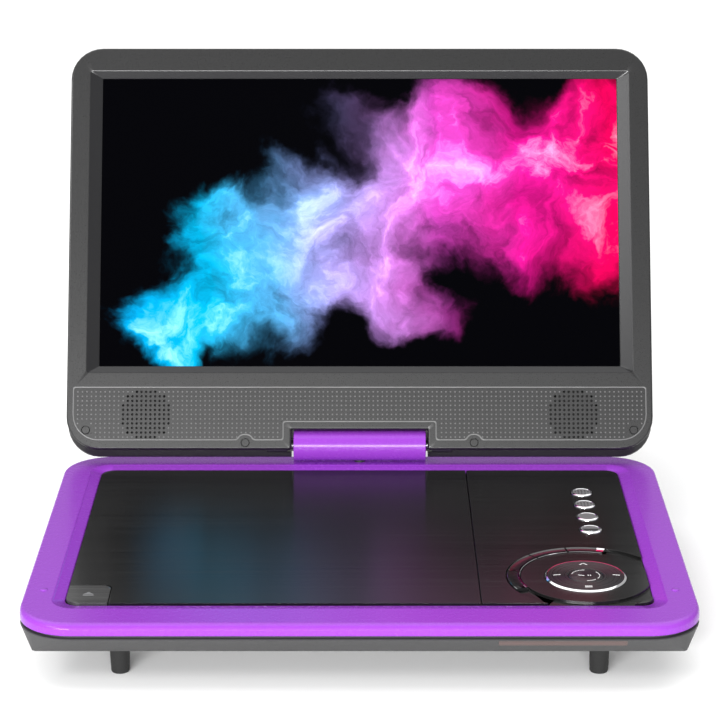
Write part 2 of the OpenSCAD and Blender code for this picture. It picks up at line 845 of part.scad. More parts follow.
module board_chips() {
    color([0.15, 0.15, 0.16]) {
        box(main_x0 + 12, main_x0 + 26, -20, -6, main_z - 1.2, main_z);
        box(main_x0 + 12, main_x0 + 22, 6, 24, main_z - 1, main_z);
        box(main_x0 + 34, main_x0 + 41, -2, 5, main_z - 1, main_z);
    }
}

module battery_pack() {
    color("royalblue") for (i = [0, 1])
        box(battery_right - battery_w * (1 + i) / 2 + i * 0.5, battery_right - battery_w * i / 2,
            -battery_d / 2, battery_d / 2, pod_floor, pod_floor + battery_h);
}

module side_jack(y, depth) {
    translate([0, y, 0]) difference() {
        union() {
            box(wall_x - depth, wall_x, -jack_w / 2, jack_w / 2, side_z - 2.1, main_z);
            translate([0, 0, side_z]) rod(nose_r, wall_x - 1, side_x - 0.4);
        }
        translate([0, 0, side_z]) rod(jack_r, wall_x - depth + 1.2, side_x + 1);
    }
}

module audio_jacks() {
    color([0.12, 0.12, 0.12]) for (y = jack_ys) side_jack(y, jack_d);
}

module dc_jack() {
    color([0.12, 0.12, 0.12]) {
        side_jack(dc_y, 10);
        translate([0, dc_y, side_z]) rod(0.65, wall_x - 9, wall_x);
    }
}

module usb_socket() {
    color("silver") {
        difference() {
            box(wall_x - 12, side_x - 0.6, usb_y - usb_half, usb_y + usb_half, shell_floor + 0.05,
                shell_floor + 0.05 + usb_h);
            box(wall_x - 11, side_x + 1, usb_y - usb_inner, usb_y + usb_inner, shell_floor + 0.35,
                shell_floor - 0.25 + usb_h);
        }
        box(wall_x - 11.5, side_x - 2.5, usb_y - 5.5, usb_y + 5.5, shell_floor + 2.9,
            shell_floor + 4.7);
    }
}

module card_slot() {
    color("silver") difference() {
        box(wall_x - 22, wall_x, card_y - card_half, card_y + card_half, side_z - 0.5, main_z);
        box(wall_x - 21, wall_x + 1, card_y - card_inner, card_y + card_inner, side_z - 0.1,
            side_z + 2.1);
    }
}

module switch_case() {
    color("silver") difference() {
        box(wall_x - 6, wall_x, switch_y - switch_half, switch_y + switch_half, side_z - 2, main_z);
        box(wall_x - 4.5, wall_x + 1, switch_y - switch_inner, switch_y + switch_inner, side_z - 1.2,
            side_z + 1.2);
    }
}

module power_switch() {
    color([0.12, 0.12, 0.12]) {
        box(wall_x - 4.3, wall_x - 0.8, switch_y - 4.2, switch_y + 0.2, side_z - 1, side_z + 1);
        box(wall_x - 1, side_x + 1.2, switch_y - 3.6, switch_y - 0.4, side_z - 1, side_z + 1);
    }
}

module volume_wheel() {
    color([0.12, 0.12, 0.12]) translate([wheel_x, wheel_y, 0]) {
        translate([0, 0, side_z - wheel_t / 2]) cylinder(r = wheel_r, h = wheel_t);
        translate([0, 0, side_z]) cylinder(r = pin_r, h = main_top + 0.3 - side_z);
    }
}

// ---- Disc drive

module drive_chassis() {
    color("gray") at_drive() difference() {
        union() {
            box(rod_x0 - 8, rod_x1 + 4, -grommet_y - 4, grommet_y + 4, plate_z, plate_z + plate_t);
            for (x = [rod_x0, rod_x1 - holder_t], y = [-rod_y, rod_y])
                box(x, x + holder_t, y - holder_half, y + holder_half, rod_z - holder_half, plate_z + eps);
            box(rod_x1 - holder_t, rod_x1, lead_y - holder_half, lead_y + holder_half,
                rod_z - holder_half, plate_z + eps);
        }
        translate([0, 0, plate_z - 1]) cylinder(r = hub_hole_r - 0.4, h = plate_t + 2);
        box(rod_x0 - 1, rod_x0 + 14, lead_y - 4.2, lead_y + 4.2, plate_z - 1, plate_z + plate_t + 1);
        box(lens_x - lens_half - 1, lens_x + sled_travel + lens_half + 1, -lens_w - 1, lens_w + 1,
            plate_z - 1, plate_z + plate_t + 1);
        for (y = [-rod_y, rod_y]) translate([0, y, rod_z]) rod(rod_r, rod_x0 - 1, rod_x1 + 1);
        translate([0, lead_y, rod_z]) rod(screw_r + run, rod_x1 - holder_t - 1, rod_x1 + 1);
        for (x = grommet_x, y = [-grommet_y, grommet_y]) translate([x, y, plate_z - 1])
            cylinder(r = grommet_neck_r, h = plate_t + 2);
    }
}

module drive_grommets() {
    color([0.2, 0.2, 0.2]) at_drive() for (x = grommet_x, y = [-grommet_y, grommet_y])
        translate([x, y, 0]) difference() {
            union() {
                translate([0, 0, plate_z - 0.6]) cylinder(r = grommet_r, h = 0.6);
                translate([0, 0, plate_z - 0.6]) cylinder(r = grommet_neck_r, h = well_low - plate_z + 0.6);
                translate([0, 0, plate_z + plate_t])
                    cylinder(r = grommet_r, h = well_low - plate_z - plate_t);
            }
            cylinder(r = grommet_post_r + 0.05, h = rim_z);
        }
}

module spindle_motor() {
    color("silver") at_drive() translate([0, 0, motor_z]) difference() {
        union() {
            cylinder(r = motor_r, h = plate_z - motor_z);
            cylinder(r = motor_post_r, h = 3);
        }
        translate([0, 0, 0.8]) difference() {
            cylinder(r = motor_r - motor_wall, h = 10);
            cylinder(r = motor_post_r, h = 2.2);
        }
        translate([0, 0, 0.5]) cylinder(r = spindle_r + run, h = 8);
    }
}

module disc_hub() {
    color([0.2, 0.2, 0.22]) at_drive() difference() {
        union() {
            translate([0, 0, motor_z + 0.7]) cylinder(r = spindle_r, h = platter_z - motor_z);
            translate([0, 0, motor_z + 3.4]) 
                cylinder(r = hub_base_r, h = platter_z - motor_z - 3.4);
            translate([0, 0, platter_z]) cylinder(r = platter_r, h = platter_t);
            translate([0, 0, platter_z]) cylinder(r = hub_r, h = platter_t + boss_h);
        }
        ball_spots() sphere(r = ball_r + run);
    }
}

module ball_spots() {
    for (a = [90, 210, 330]) rotate(a)
        translate([hub_r - ball_in, 0, platter_z + platter_t + ball_up]) children();
}

module hub_balls() {
    color("silver") at_drive() ball_spots() sphere(r = ball_r);
}

module platter_pad() {
    color([0.15, 0.15, 0.15]) at_drive() translate([0, 0, platter_z + platter_t]) difference() {
        cylinder(r = platter_r, h = pad_t);
        translate([0, 0, -1]) cylinder(r = pad_in_r, h = pad_t + 2);
    }
}

module guide_rods() {
    color("silver") at_drive() for (y = [-rod_y, rod_y]) translate([0, y, rod_z])
        rod(rod_r, rod_x0, rod_x1);
}

module pickup_sled() {
    color([0.22, 0.22, 0.24]) at_drive() difference() {
        union() {
            box(lens_x - sled_half, lens_x + sled_half, -rod_y - collar_half, rod_y + collar_half,
                sled_low, sled_top);
            box(lens_x - lens_half, lens_x + lens_half, -lens_w, lens_w, sled_low, well_z + 0.6);
            box(lens_x - 3, lens_x + 3, lead_y - 2.2, -rod_y, sled_low, sled_top);
        }
        for (y = [-rod_y, rod_y]) translate([0, y, rod_z]) rod(rod_r + run, 0, 90);
        translate([0, lead_y, rod_z]) rod(screw_r + run, 0, 90);
        translate([lens_x, 0, well_z - lens_sink]) cylinder(r = lens_r, h = 3);
    }
}

module pickup_lens() {
    color("lightblue") at_drive() translate([lens_x, 0, well_z - lens_sink])
        cylinder(r = lens_r, h = 1.6);
}

module sled_motor() {
    color("silver") at_drive() translate([0, lead_y, rod_z]) difference() {
        rod(sled_motor_r, rod_x0, rod_x0 + sled_motor_l);
        rod(screw_r + run, rod_x0 + 4, rod_x0 + sled_motor_l + 1);
    }
}

module lead_screw() {
    color("goldenrod") at_drive() translate([0, lead_y, rod_z]) rod(screw_r, rod_x0 + 5, rod_x1);
}

// ---- Hinge between the base and the lid

module bracket_spots() {
    for (s = [-1, 1]) translate([s * (notch_half - 4), bracket_y0 + 3, 0]) children();
}

module hinge_bracket() {
    color("silver") difference() {
        box(-notch_half - 2, notch_half + 2, bracket_y0, bracket_y1, bracket_z, tray_low);
        translate([0, hinge_y, 0]) cylinder(r = post_r + run, h = rim_z);
        bracket_spots() cylinder(r = bracket_screw_r + 0.02, h = rim_z);
    }
}

module swivel_post() {
    color("silver") translate([0, hinge_y, 0]) difference() {
        translate([0, 0, clip_z - 0.4]) cylinder(r = post_r, h = hinge_z - 1 - clip_z + 0.4);
        cylinder(r = cable_r, h = 2 * hinge_z);
    }
}

module swivel_clip() {
    color("gray") translate([0, hinge_y, clip_z]) difference() {
        cylinder(r = clip_r, h = clip_t);
        translate([0, 0, -1]) cylinder(r = post_r, h = clip_t + 2);
    }
}

module hinge_core() {
    color("gray") translate([0, hinge_y, hinge_z]) difference() {
        box(-barrel_w / 2 + 7, barrel_w / 2 - 7, -core_half, core_half, -core_half, core_half);
        for (s = [0, 1]) mirror([s, 0, 0]) rod(pin_r, 6, barrel_w);
        translate([0, 0, -hinge_up]) cylinder(r = post_r, h = hinge_up - 1);
    }
}

module hinge_barrel() {
    color("mediumorchid") translate([0, hinge_y, hinge_z]) difference() {
        rod(barrel_r, -barrel_w / 2, barrel_w / 2);
        rod(barrel_r - barrel_wall, -barrel_w / 2 + barrel_wall, barrel_w / 2 - barrel_wall);
        rod(pin_r + 0.1, -barrel_w, barrel_w);
        translate([0, 0, -hinge_z]) cylinder(r = post_r, h = hinge_z);
    }
}

module tilt_pins() {
    color("silver") translate([0, hinge_y, hinge_z]) for (s = [0, 1]) mirror([s, 0, 0])
        rod(pin_r, 8, lug_x0 + lug_w);
}

module lid_brackets() {
    color("gray") on_lid() for (s = [0, 1]) mirror([s, 0, 0]) difference() {
        union() {
            rod(lug_r, lug_x0, lug_x0 + lug_w);
            box(lug_x0, lug_x0 + lug_w, lug_r - 1, lug_r, 0, 16);
        }
        rod(pin_r + run, lug_x0 - 1, lug_x0 + lug_w + 1);
    }
}

// ---- Lid

module lid_notch(up, y0, y1) {
    translate([0, 0, -20]) box(-notch_half, notch_half, y0, y1, 0, 20 + up);
}

module grille_holes() {
    for (i = [-5:5], j = [-5:5]) if (i * i + j * j <= 32)
        lid_round(speaker_x + i * hole_pitch, speaker_up + j * hole_pitch, hole_r,
            face_y - 1, bezel_y + 1);
}

module lid_screw_spots() {
    for (p = lid_screws_at, s = [-1, 1]) translate([s * p[0], 0, p[1]]) children();
}

module front_bezel() {
    color([0.28, 0.28, 0.29]) on_lid() difference() {
        lid_slab(lid_half, -face_below, lid_up, lid_r, face_y, split_y);
        lid_slab(lid_half - lid_wall, -face_below + lid_wall, lid_up - lid_wall,
            lid_r - lid_wall, bezel_y, split_y + 1);
        screen_cut();
        lid_notch(notch_up, face_y - 1, bezel_y + eps);
        lid_notch(notch_back, bezel_y, split_y + 1);
        for (s = [0, 1]) mirror([s, 0, 0]) {
            grille_holes();
            rod(lug_r + 0.2, notch_half - 1, lug_x0 + lug_w + 0.2);
        }
        lid_screw_spots() {
            lid_round(0, 0, cap_r, face_y - 1, face_y + cap_t);
            lid_round(0, 0, lid_screw_r + 0.1, face_y, bezel_y + 1);
        }
    }
}

module screen_cut() {
    low = screen_low;
    high = screen_low + screen_h;
    half = screen_w / 2;
    box(-half, half, face_y, bezel_y + 1, low, high);
    hull() {
        box(-half - bevel_side, half + bevel_side, face_y - 1, face_y,
            low - bevel_end, high + bevel_end);
        box(-half, half, bezel_y - eps, bezel_y, low, high);
    }
}

module back_form(inset) {
    hull() {
        lid_slab(lid_half - inset - split_in, -face_below + inset + split_in,
            lid_up - inset - split_in, lid_r - inset, split_y, split_y + 0.4, $fn = 32);
        lid_slab(lid_half - inset, -back_below + inset, lid_up - inset, lid_r - inset,
            0.6, 2.2, $fn = 32);
        lid_slab(lid_half - inset - back_edge, -back_below + 0.4 + inset,
            lid_up - inset - back_edge, lid_r - inset, 3 - inset / 2, 3.4 - inset / 2, $fn = 32);
        lid_slab(lid_half - inset - back_round, back_round - back_below + inset,
            lid_up - inset - back_round, lid_r, back_y - inset - 0.3, back_y - inset, $fn = 32);
    }
}

module back_shell() {
    color([0.24, 0.24, 0.25]) on_lid() difference() {
        union() {
            difference() {
                back_form(0);
                back_form(lid_wall);
                box(-lid_half + lid_wall, lid_half - lid_wall, split_y - 1, split_y + 0.3,
                    -face_below + lid_wall, lid_up - lid_wall);
            }
            intersection() {
                back_form(0);
                for (s = [0, 1]) mirror([s, 0, 0])
                    box(rear_half, notch_half + lid_wall, split_y, back_y, -back_below - 1, 12);
            }
            intersection() {
                back_form(0);
                union() {
                    box(-notch_half, notch_half, split_y, back_y, notch_back, notch_back + lid_wall);
                    lid_screw_spots() lid_round(0, 0, boss_r, split_y, back_y);
                }
            }
        }
        lid_notch(rear_step, split_y - 1, back_y + 1);
        box(-rear_half, rear_half, split_y - 1, back_y + 1, rear_step - 1, notch_back);
        rod(pin_r + 0.3, -lug_x0 - 1, lug_x0 + 1);
        for (s = [0, 1]) mirror([s, 0, 0]) rod(lug_r + 0.1, lug_x0 - 0.05, lug_x0 + lug_w + 0.1);
        lid_screw_spots() lid_round(0, 0, lid_screw_r + 0.02, split_y - 1, 3.2);
    }
}

module lcd_panel() {
    color([0.05, 0.05, 0.08]) on_lid() box(-screen_w / 2 - screen_lap, screen_w / 2 + screen_lap,
        bezel_y, bezel_y + panel_glass_t, screen_low - screen_lap, screen_low + screen_h + screen_lap);
}

module backlight() {
    color("gainsboro") on_lid() box(-screen_w / 2 - backlight_lap, screen_w / 2 + backlight_lap,
        bezel_y + panel_glass_t, bezel_y + panel_glass_t + backlight_t,
        screen_low - backlight_lap, screen_low + screen_h + backlight_lap);
}

module screen_board() {
    color("darkgreen") on_lid() box(-board_half, board_half, 1.6, 2.6, screen_low + 20,
        screen_low + 62);
}

module speakers() {
    color("gray") on_lid() for (s = [-1, 1]) {
        lid_round(s * speaker_x, speaker_up, speaker_r, bezel_y, bezel_y + 3.6);
        lid_round(s * speaker_x, speaker_up, speaker_r / 2, bezel_y + 3.6, 3.2);
    }
}

module screw_caps() {
    color([0.25, 0.25, 0.26]) on_lid() lid_screw_spots() {
        lid_round(0, 0, cap_r - 0.05, face_y, face_y + cap_t);
        lid_round(0, 0, lid_screw_r, face_y + cap_t, 3);
    }
}

bottom_shell();
top_rim();
deck_tray();
control_panel();
ir_window();
ir_receiver();
battery_pack();
main_board();
board_chips();
key_board();
key_domes();
audio_jacks();
dc_jack();
usb_socket();
card_slot();
switch_case();
power_switch();
volume_wheel();
rubber_feet();
rim_bumpers();
case_screws();
hinge_bracket();
disc_cover();
open_button();
cover_latch();
latch_spring();
round_key_1();
round_key_2();
round_key_3();
round_key_4();
nav_pad();
centre_key();
arc_key_1();
arc_key_2();
arc_key_3();
arc_key_4();
drive_chassis();
drive_grommets();
spindle_motor();
disc_hub();
hub_balls();
platter_pad();
guide_rods();
pickup_sled();
pickup_lens();
sled_motor();
lead_screw();
swivel_post();
swivel_clip();
hinge_core();
hinge_barrel();
tilt_pins();
lid_brackets();
front_bezel();
back_shell();
lcd_panel();
backlight();
screen_board();
speakers();
screw_caps();
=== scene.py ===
# Portable disc player: a flat base with a disc well and keys, and a lid screen on a swivelling hinge.
# Pieces are drawn in millimetres and made metres when they are finished.
import json
import math

import bmesh
import bpy
from mathutils import Matrix, Vector


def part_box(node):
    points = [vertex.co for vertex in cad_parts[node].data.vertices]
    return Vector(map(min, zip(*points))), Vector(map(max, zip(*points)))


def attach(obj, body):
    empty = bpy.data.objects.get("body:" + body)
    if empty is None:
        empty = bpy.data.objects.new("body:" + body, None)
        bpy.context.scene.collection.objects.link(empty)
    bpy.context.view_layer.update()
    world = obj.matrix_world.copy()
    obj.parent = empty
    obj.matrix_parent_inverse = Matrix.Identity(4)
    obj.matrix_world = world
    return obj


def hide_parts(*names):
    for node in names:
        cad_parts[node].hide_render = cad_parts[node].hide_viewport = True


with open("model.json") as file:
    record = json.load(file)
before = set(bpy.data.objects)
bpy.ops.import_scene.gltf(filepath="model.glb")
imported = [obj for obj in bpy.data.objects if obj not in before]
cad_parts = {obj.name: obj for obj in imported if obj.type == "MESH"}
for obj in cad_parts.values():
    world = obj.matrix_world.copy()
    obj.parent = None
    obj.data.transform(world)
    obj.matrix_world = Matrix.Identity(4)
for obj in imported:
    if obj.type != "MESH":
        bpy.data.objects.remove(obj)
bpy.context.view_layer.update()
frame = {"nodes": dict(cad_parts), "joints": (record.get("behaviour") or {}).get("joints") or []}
scene = bpy.context.scene
mm = 0.001
print("frame loaded:", len(frame["nodes"]), "parts")


# ---- places taken from the frame

def nodeBox(name):  # lowest and highest corners of a part in millimetres
    low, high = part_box(name)
    return low / mm, high / mm


tiltJoint = next(joint for joint in frame["joints"] if joint["name"] == "tilt")
hingeAt = Vector(tiltJoint["pos_m"])
lean = math.radians(90 + tiltJoint["range_deg"][0])
# Lid pieces are drawn flat: X right, Y up the lid, Z towards the viewer, from the tilt axis
lidPlace = (Matrix.Translation(hingeAt) @ Matrix.Rotation(-lean, 4, "X")
            @ Matrix.Rotation(math.radians(90), 4, "X"))

rimLow, rimHigh = nodeBox("top_rim")
panelLow, panelHigh = nodeBox("control_panel")
coverRight = nodeBox("disc_cover")[1].x
rimTop = rimHigh.z
deckTop = panelHigh.z
deckRight, deckBack, deckFront = panelHigh.x, panelHigh.y, panelLow.y
baseRight, baseBack, baseFront = rimHigh.x, rimHigh.y, rimLow.y
cornerRound = 19

# ---- camera and light

cameraSettings = dict(aside=0.14, ahead=872.9, above=339.7, pitch=17.3, lens=125)
lightSettings = dict(
    world=(1.0, 1.0, 1.0), worldStrength=0.52, floorTone=(0.98, 0.98, 0.98),
    areas=[  # place, size across and along, watts, aim
        dict(name="overheadSoft", at=(0.0, 0.75, 1.5), size=(2.6, 2.2), power=26, aim=(0, 0.75, 0)),
        dict(name="frontStrip", at=(-0.3, -1.5, 0.45), size=(1.3, 0.16), power=38, aim=(0, 0, 0.05)),
        dict(name="leftSide", at=(-0.90, -0.75, 0.95), size=(0.45, 0.45), power=5, aim=(0, 0, 0.08)),
    ])


def buildStage():
    camera = bpy.data.cameras.new("camera")
    camera.lens, camera.sensor_width = cameraSettings["lens"], 36
    camera.clip_end = 50
    holder = bpy.data.objects.new("camera", camera)
    holder.location = (cameraSettings["aside"] * mm, -cameraSettings["ahead"] * mm,
                       (rimTop + cameraSettings["above"]) * mm)
    holder.rotation_euler = (math.radians(90 - cameraSettings["pitch"]), 0, 0)
    scene.collection.objects.link(holder)
    scene.camera = holder
    scene.view_settings.view_transform = "Standard"
    world = bpy.data.worlds.new("studio")
    world.use_nodes = True
    sky = world.node_tree.nodes["Background"]
    sky.inputs["Color"].default_value = (*lightSettings["world"], 1)
    sky.inputs["Strength"].default_value = lightSettings["worldStrength"]
    scene.world = world
    for s in lightSettings["areas"]:
        lamp = bpy.data.lights.new(s["name"], "AREA")
        lamp.shape, lamp.energy = "RECTANGLE", s["power"]
        lamp.size, lamp.size_y = s["size"]
        placed = bpy.data.objects.new(s["name"], lamp)
        placed.location = s["at"]
        towards = Vector(s["aim"]) - Vector(s["at"])
        placed.rotation_euler = towards.to_track_quat("-Z", "Y").to_euler()
        scene.collection.objects.link(placed)
    bm = bmesh.new()
    bmesh.ops.create_grid(bm, x_segments=1, y_segments=1, size=20)
    mesh = bpy.data.meshes.new("floor")
    bm.to_mesh(mesh)
    bm.free()
    floor = bpy.data.objects.new("floor", mesh)
    paint = bpy.data.materials.new("floorPaint")
    paint.use_nodes = True
    shader = paint.node_tree.nodes["Principled BSDF"]
    shader.inputs["Base Color"].default_value = (*lightSettings["floorTone"], 1)
    shader.inputs["Roughness"].default_value = 0.7
    mesh.materials.append(paint)
    scene.collection.objects.link(floor)


# ---- finishes

def addNode(tree, kind, inputs=None, **choices):
    made = tree.nodes.new(kind)
    for key, value in choices.items():
        setattr(made, key, value)
    for key, value in (inputs or {}).items():
        if isinstance(value, bpy.types.NodeSocket):
            tree.links.new(value, made.inputs[key])
        else:
            made.inputs[key].default_value = value
    return made


def mathNode(tree, operation, first, second):
    return addNode(tree, "ShaderNodeMath", {0: first, 1: second}, operation=operation).outputs[0]


def mapRange(tree, value, fromLow, fromHigh, toLow, toHigh, kind="LINEAR"):
    return addNode(tree, "ShaderNodeMapRange", {"Value": value, "From Min": fromLow, "From Max": fromHigh,
                   "To Min": toLow, "To Max": toHigh}, interpolation_type=kind).outputs["Result"]


def mixInputs(tree, factor, first, second):
    made = tree.nodes.new("ShaderNodeMix")
    made.data_type = "RGBA"
    for socket, value in ((made.inputs[0], factor), (made.inputs[6], first), (made.inputs[7], second)):
        if isinstance(value, bpy.types.NodeSocket):
            tree.links.new(value, socket)
        else:
            socket.default_value = value
    return made.outputs[2]


def startMaterial(name):
    material = bpy.data.materials.new(name)
    material.use_nodes = True
    tree = material.node_tree
    tree.nodes.clear()
    shader = tree.nodes.new("ShaderNodeBsdfPrincipled")
    output = tree.nodes.new("ShaderNodeOutputMaterial")
    tree.links.new(shader.outputs["BSDF"], output.inputs["Surface"])
    coords = tree.nodes.new("ShaderNodeTexCoord").outputs["Object"]
    return material, tree, shader, coords


finishDefaults = dict(  # grain is in repeats per metre, depth in metres
    drift=0.10, rough=0.38, roughDrift=0.05, grain=2600, depth=0.00001, strength=0.2,
    metal=0.0, specular=0.5, coat=0.0, coatRough=0.05)
finishSettings = dict(  # tone is linear colour; what is not given is as in the defaults
    purpleGloss=dict(tone=(0.24, 0.04, 0.43), drift=0.03, rough=0.27, roughDrift=0.015, grain=420,
                     strength=0.02, coat=0.16, coatRough=0.18, specular=0.22),
    lidPlastic=dict(tone=(0.012, 0.012, 0.0122), rough=0.31, grain=3200, depth=0.00003, strength=0.22),
    lidBevel=dict(tone=(0.012, 0.012, 0.013), rough=0.22, roughDrift=0.03, grain=2400, strength=0.08,
                  specular=0.35),
    # lidPaintedHighlight: a light grey that paints the highlight on the groove bead and the grille bumps
    lidPaintedHighlight=dict(tone=(0.115, 0.115, 0.115), rough=0.32, grain=3200, strength=0.15, specular=0.6),
    backPlastic=dict(tone=(0.012, 0.012, 0.0125), rough=0.42, roughDrift=0.06, depth=0.00005, strength=0.3,
                     specular=0.35),
    shellPlastic=dict(tone=(0.046, 0.046, 0.047), drift=0.08, rough=0.5, grain=2800, depth=0.00005,
                      strength=0.3, specular=0.45),
    trayPlastic=dict(tone=(0.018, 0.018, 0.02), drift=0.15, rough=0.42, roughDrift=0.06, grain=2400,
                     depth=0.00004, strength=0.3),
    keyBlack=dict(tone=(0.012, 0.012, 0.013), rough=0.2, roughDrift=0.04, grain=900, strength=0.08,
                  coat=0.3, coatRough=0.06),
    rubberBlack=dict(tone=(0.014, 0.014, 0.014), drift=0.2, rough=0.62, roughDrift=0.08, grain=2000,
                     depth=0.00006, strength=0.4, specular=0.35),
    windowTint=dict(tone=(0.075, 0.04, 0.036), drift=0.08, rough=0.16, roughDrift=0.03, grain=600,
                    strength=0.05, coat=0.4),
    boardGreen=dict(tone=(0.012, 0.1, 0.035), drift=0.25, rough=0.35, roughDrift=0.08, grain=500,
                    depth=0.00003),
    chipBlack=dict(tone=(0.02, 0.02, 0.022), rough=0.5, grain=4000, depth=0.00002, strength=0.3),
    steel=dict(tone=(0.62, 0.62, 0.63), drift=0.05, rough=0.26, roughDrift=0.1, grain=1500, strength=0.15,
               metal=1.0),
    steelDark=dict(tone=(0.2, 0.2, 0.21), drift=0.08, roughDrift=0.08, grain=1500, metal=1.0),
    chrome=dict(tone=(0.8, 0.8, 0.82), drift=0.02, rough=0.1, roughDrift=0.04, grain=900, strength=0.04,
                metal=1.0),
    keyGrey=dict(tone=(0.19, 0.19, 0.195), drift=0.05, rough=0.36, grain=3000, metal=0.25),
    # cutEdgeAndHighlight: a light grey edge, partly a bright cut chamfer and partly a painted highlight line
    cutEdgeAndHighlight=dict(tone=(0.46, 0.46, 0.47), drift=0.03, rough=0.4, roughDrift=0.04, grain=2000,
                    strength=0.05),
    brass=dict(tone=(0.62, 0.42, 0.16), drift=0.06, rough=0.25, roughDrift=0.08, grain=1500, strength=0.15,
               metal=1.0),
    packWrap=dict(tone=(0.03, 0.09, 0.32), rough=0.3, roughDrift=0.06, grain=300, depth=0.0001, coat=0.2,
                  coatRough=0.1),
    whitePlastic=dict(tone=(0.72, 0.72, 0.7), drift=0.04, rough=0.4, grain=2500, depth=0.00002),
    socketBlack=dict(tone=(0.01, 0.01, 0.011), drift=0.15, depth=0.00003, strength=0.25),
    lensClear=dict(tone=(0.2, 0.26, 0.42), drift=0.05, rough=0.05, roughDrift=0.02, grain=400,
                   strength=0.03, coat=1.0, coatRough=0.02),
    markWhite=dict(tone=(0.78, 0.78, 0.78), drift=0.03, rough=0.4, roughDrift=0.04, grain=2500, strength=0.1))


def noise(tree, vector, scale, detail, roughness=0.5, distortion=0.0):
    return addNode(tree, "ShaderNodeTexNoise", {"Vector": vector, "Scale": float(scale), "Detail": detail,
                   "Roughness": roughness, "Distortion": distortion}).outputs


def stretch(tree, vector, **inputs):
    return addNode(tree, "ShaderNodeMapping", {"Vector": vector, **inputs}).outputs["Vector"]


def vectorNode(tree, operation, inputs, result="Vector"):
    return addNode(tree, "ShaderNodeVectorMath", inputs, operation=operation).outputs[result]


def dress(tree, shader, colour, rough, height, strength, depth):
    bump = addNode(tree, "ShaderNodeBump", {"Height": height, "Strength": strength, "Distance": depth})
    for socket, value in (("Base Color", colour), ("Roughness", rough), ("Normal", bump.outputs["Normal"])):
        tree.links.new(value, shader.inputs[socket])


def brushAlong(tree, shader, anisotropic):
    shader.inputs["Anisotropic"].default_value = anisotropic
    tangent = addNode(tree, "ShaderNodeTangent", direction_type="UV_MAP", uv_map="strokes")
    tree.links.new(tangent.outputs["Tangent"], shader.inputs["Tangent"])


def makeFinish(name, given):
    s = {**finishDefaults, **given}
    material, tree, shader, coords = startMaterial(name)
    wide = noise(tree, coords, 14, 3.0)["Fac"]
    fine = noise(tree, coords, s["grain"], 2.0, 0.6)["Fac"]
    tone, drift = Vector(s["tone"]), s["drift"]
    colour = mixInputs(tree, wide, (*(tone * (1 - drift)), 1), (*(tone * (1 + drift)), 1))
    rough = mapRange(tree, fine, 0.3, 0.7, s["rough"] - s["roughDrift"], s["rough"] + s["roughDrift"])
    dress(tree, shader, colour, rough, fine, s["strength"], s["depth"])
    for socket, key in (("Metallic", "metal"), ("Specular IOR Level", "specular"), ("Coat Weight", "coat"),
                        ("Coat Roughness", "coatRough")):
        shader.inputs[socket].default_value = s[key]
    return material


brushedSettings = dict(tone=(0.003, 0.003, 0.003), lift=(0.008, 0.008, 0.008), rough=(0.19, 0.27),
                       strokes=(9, 2600, 9), coarse=(5, 420, 5), depth=0.00001, strength=0.12,
                       anisotropic=0.86, specular=0.34, buttonLift=8.0)


def makeBrushed(name, lighter=1.0):
    material, tree, shader, coords = startMaterial(name)
    s = brushedSettings
    fine, coarse = (noise(tree, stretch(tree, coords, Scale=scale), 1, 3.0, 0.65)["Fac"]
                    for scale in (s["strokes"], s["coarse"]))
    streak = mathNode(tree, "ADD", mathNode(tree, "MULTIPLY", fine, 0.6),
                      mathNode(tree, "MULTIPLY", coarse, 0.4))
    tone, lift = Vector(s["tone"]) * lighter, Vector(s["lift"]) * lighter
    colour = mixInputs(tree, mapRange(tree, streak, 0.35, 0.65, 0.0, 1.0), (*tone, 1), (*lift, 1))
    dress(tree, shader, colour, mapRange(tree, streak, 0.3, 0.7, *s["rough"]), fine, s["strength"],
          s["depth"])
    shader.inputs["Specular IOR Level"].default_value = s["specular"]
    brushAlong(tree, shader, s["anisotropic"])
    return material


spunSettings = dict(tone=(0.016, 0.016, 0.018), rough=(0.25, 0.35), anisotropic=0.85, rings=2200,
                    strength=0.1, depth=0.00001)


def makeSpun():  # a dark face turned on a lathe, round the navigation pad's middle
    material, tree, shader, coords = startMaterial("keySpun")
    s = spunSettings
    low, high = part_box("centre_key")
    centred = stretch(tree, coords, Location=(-(low.x + high.x) / 2, -(low.y + high.y) / 2, 0))
    radius = vectorNode(tree, "LENGTH", {0: stretch(tree, centred, Scale=(1, 1, 0))}, "Value")
    rings = addNode(tree, "ShaderNodeTexNoise", {"W": radius, "Scale": float(s["rings"]), "Detail": 2.0},
                    noise_dimensions="1D").outputs["Fac"]
    tone = Vector(s["tone"])
    colour = mixInputs(tree, rings, (*(tone * 0.7), 1), (*(tone * 1.5), 1))
    dress(tree, shader, colour, mapRange(tree, rings, 0.3, 0.7, *s["rough"]), rings, s["strength"],
          s["depth"])
    brushAlong(tree, shader, s["anisotropic"])
    return material


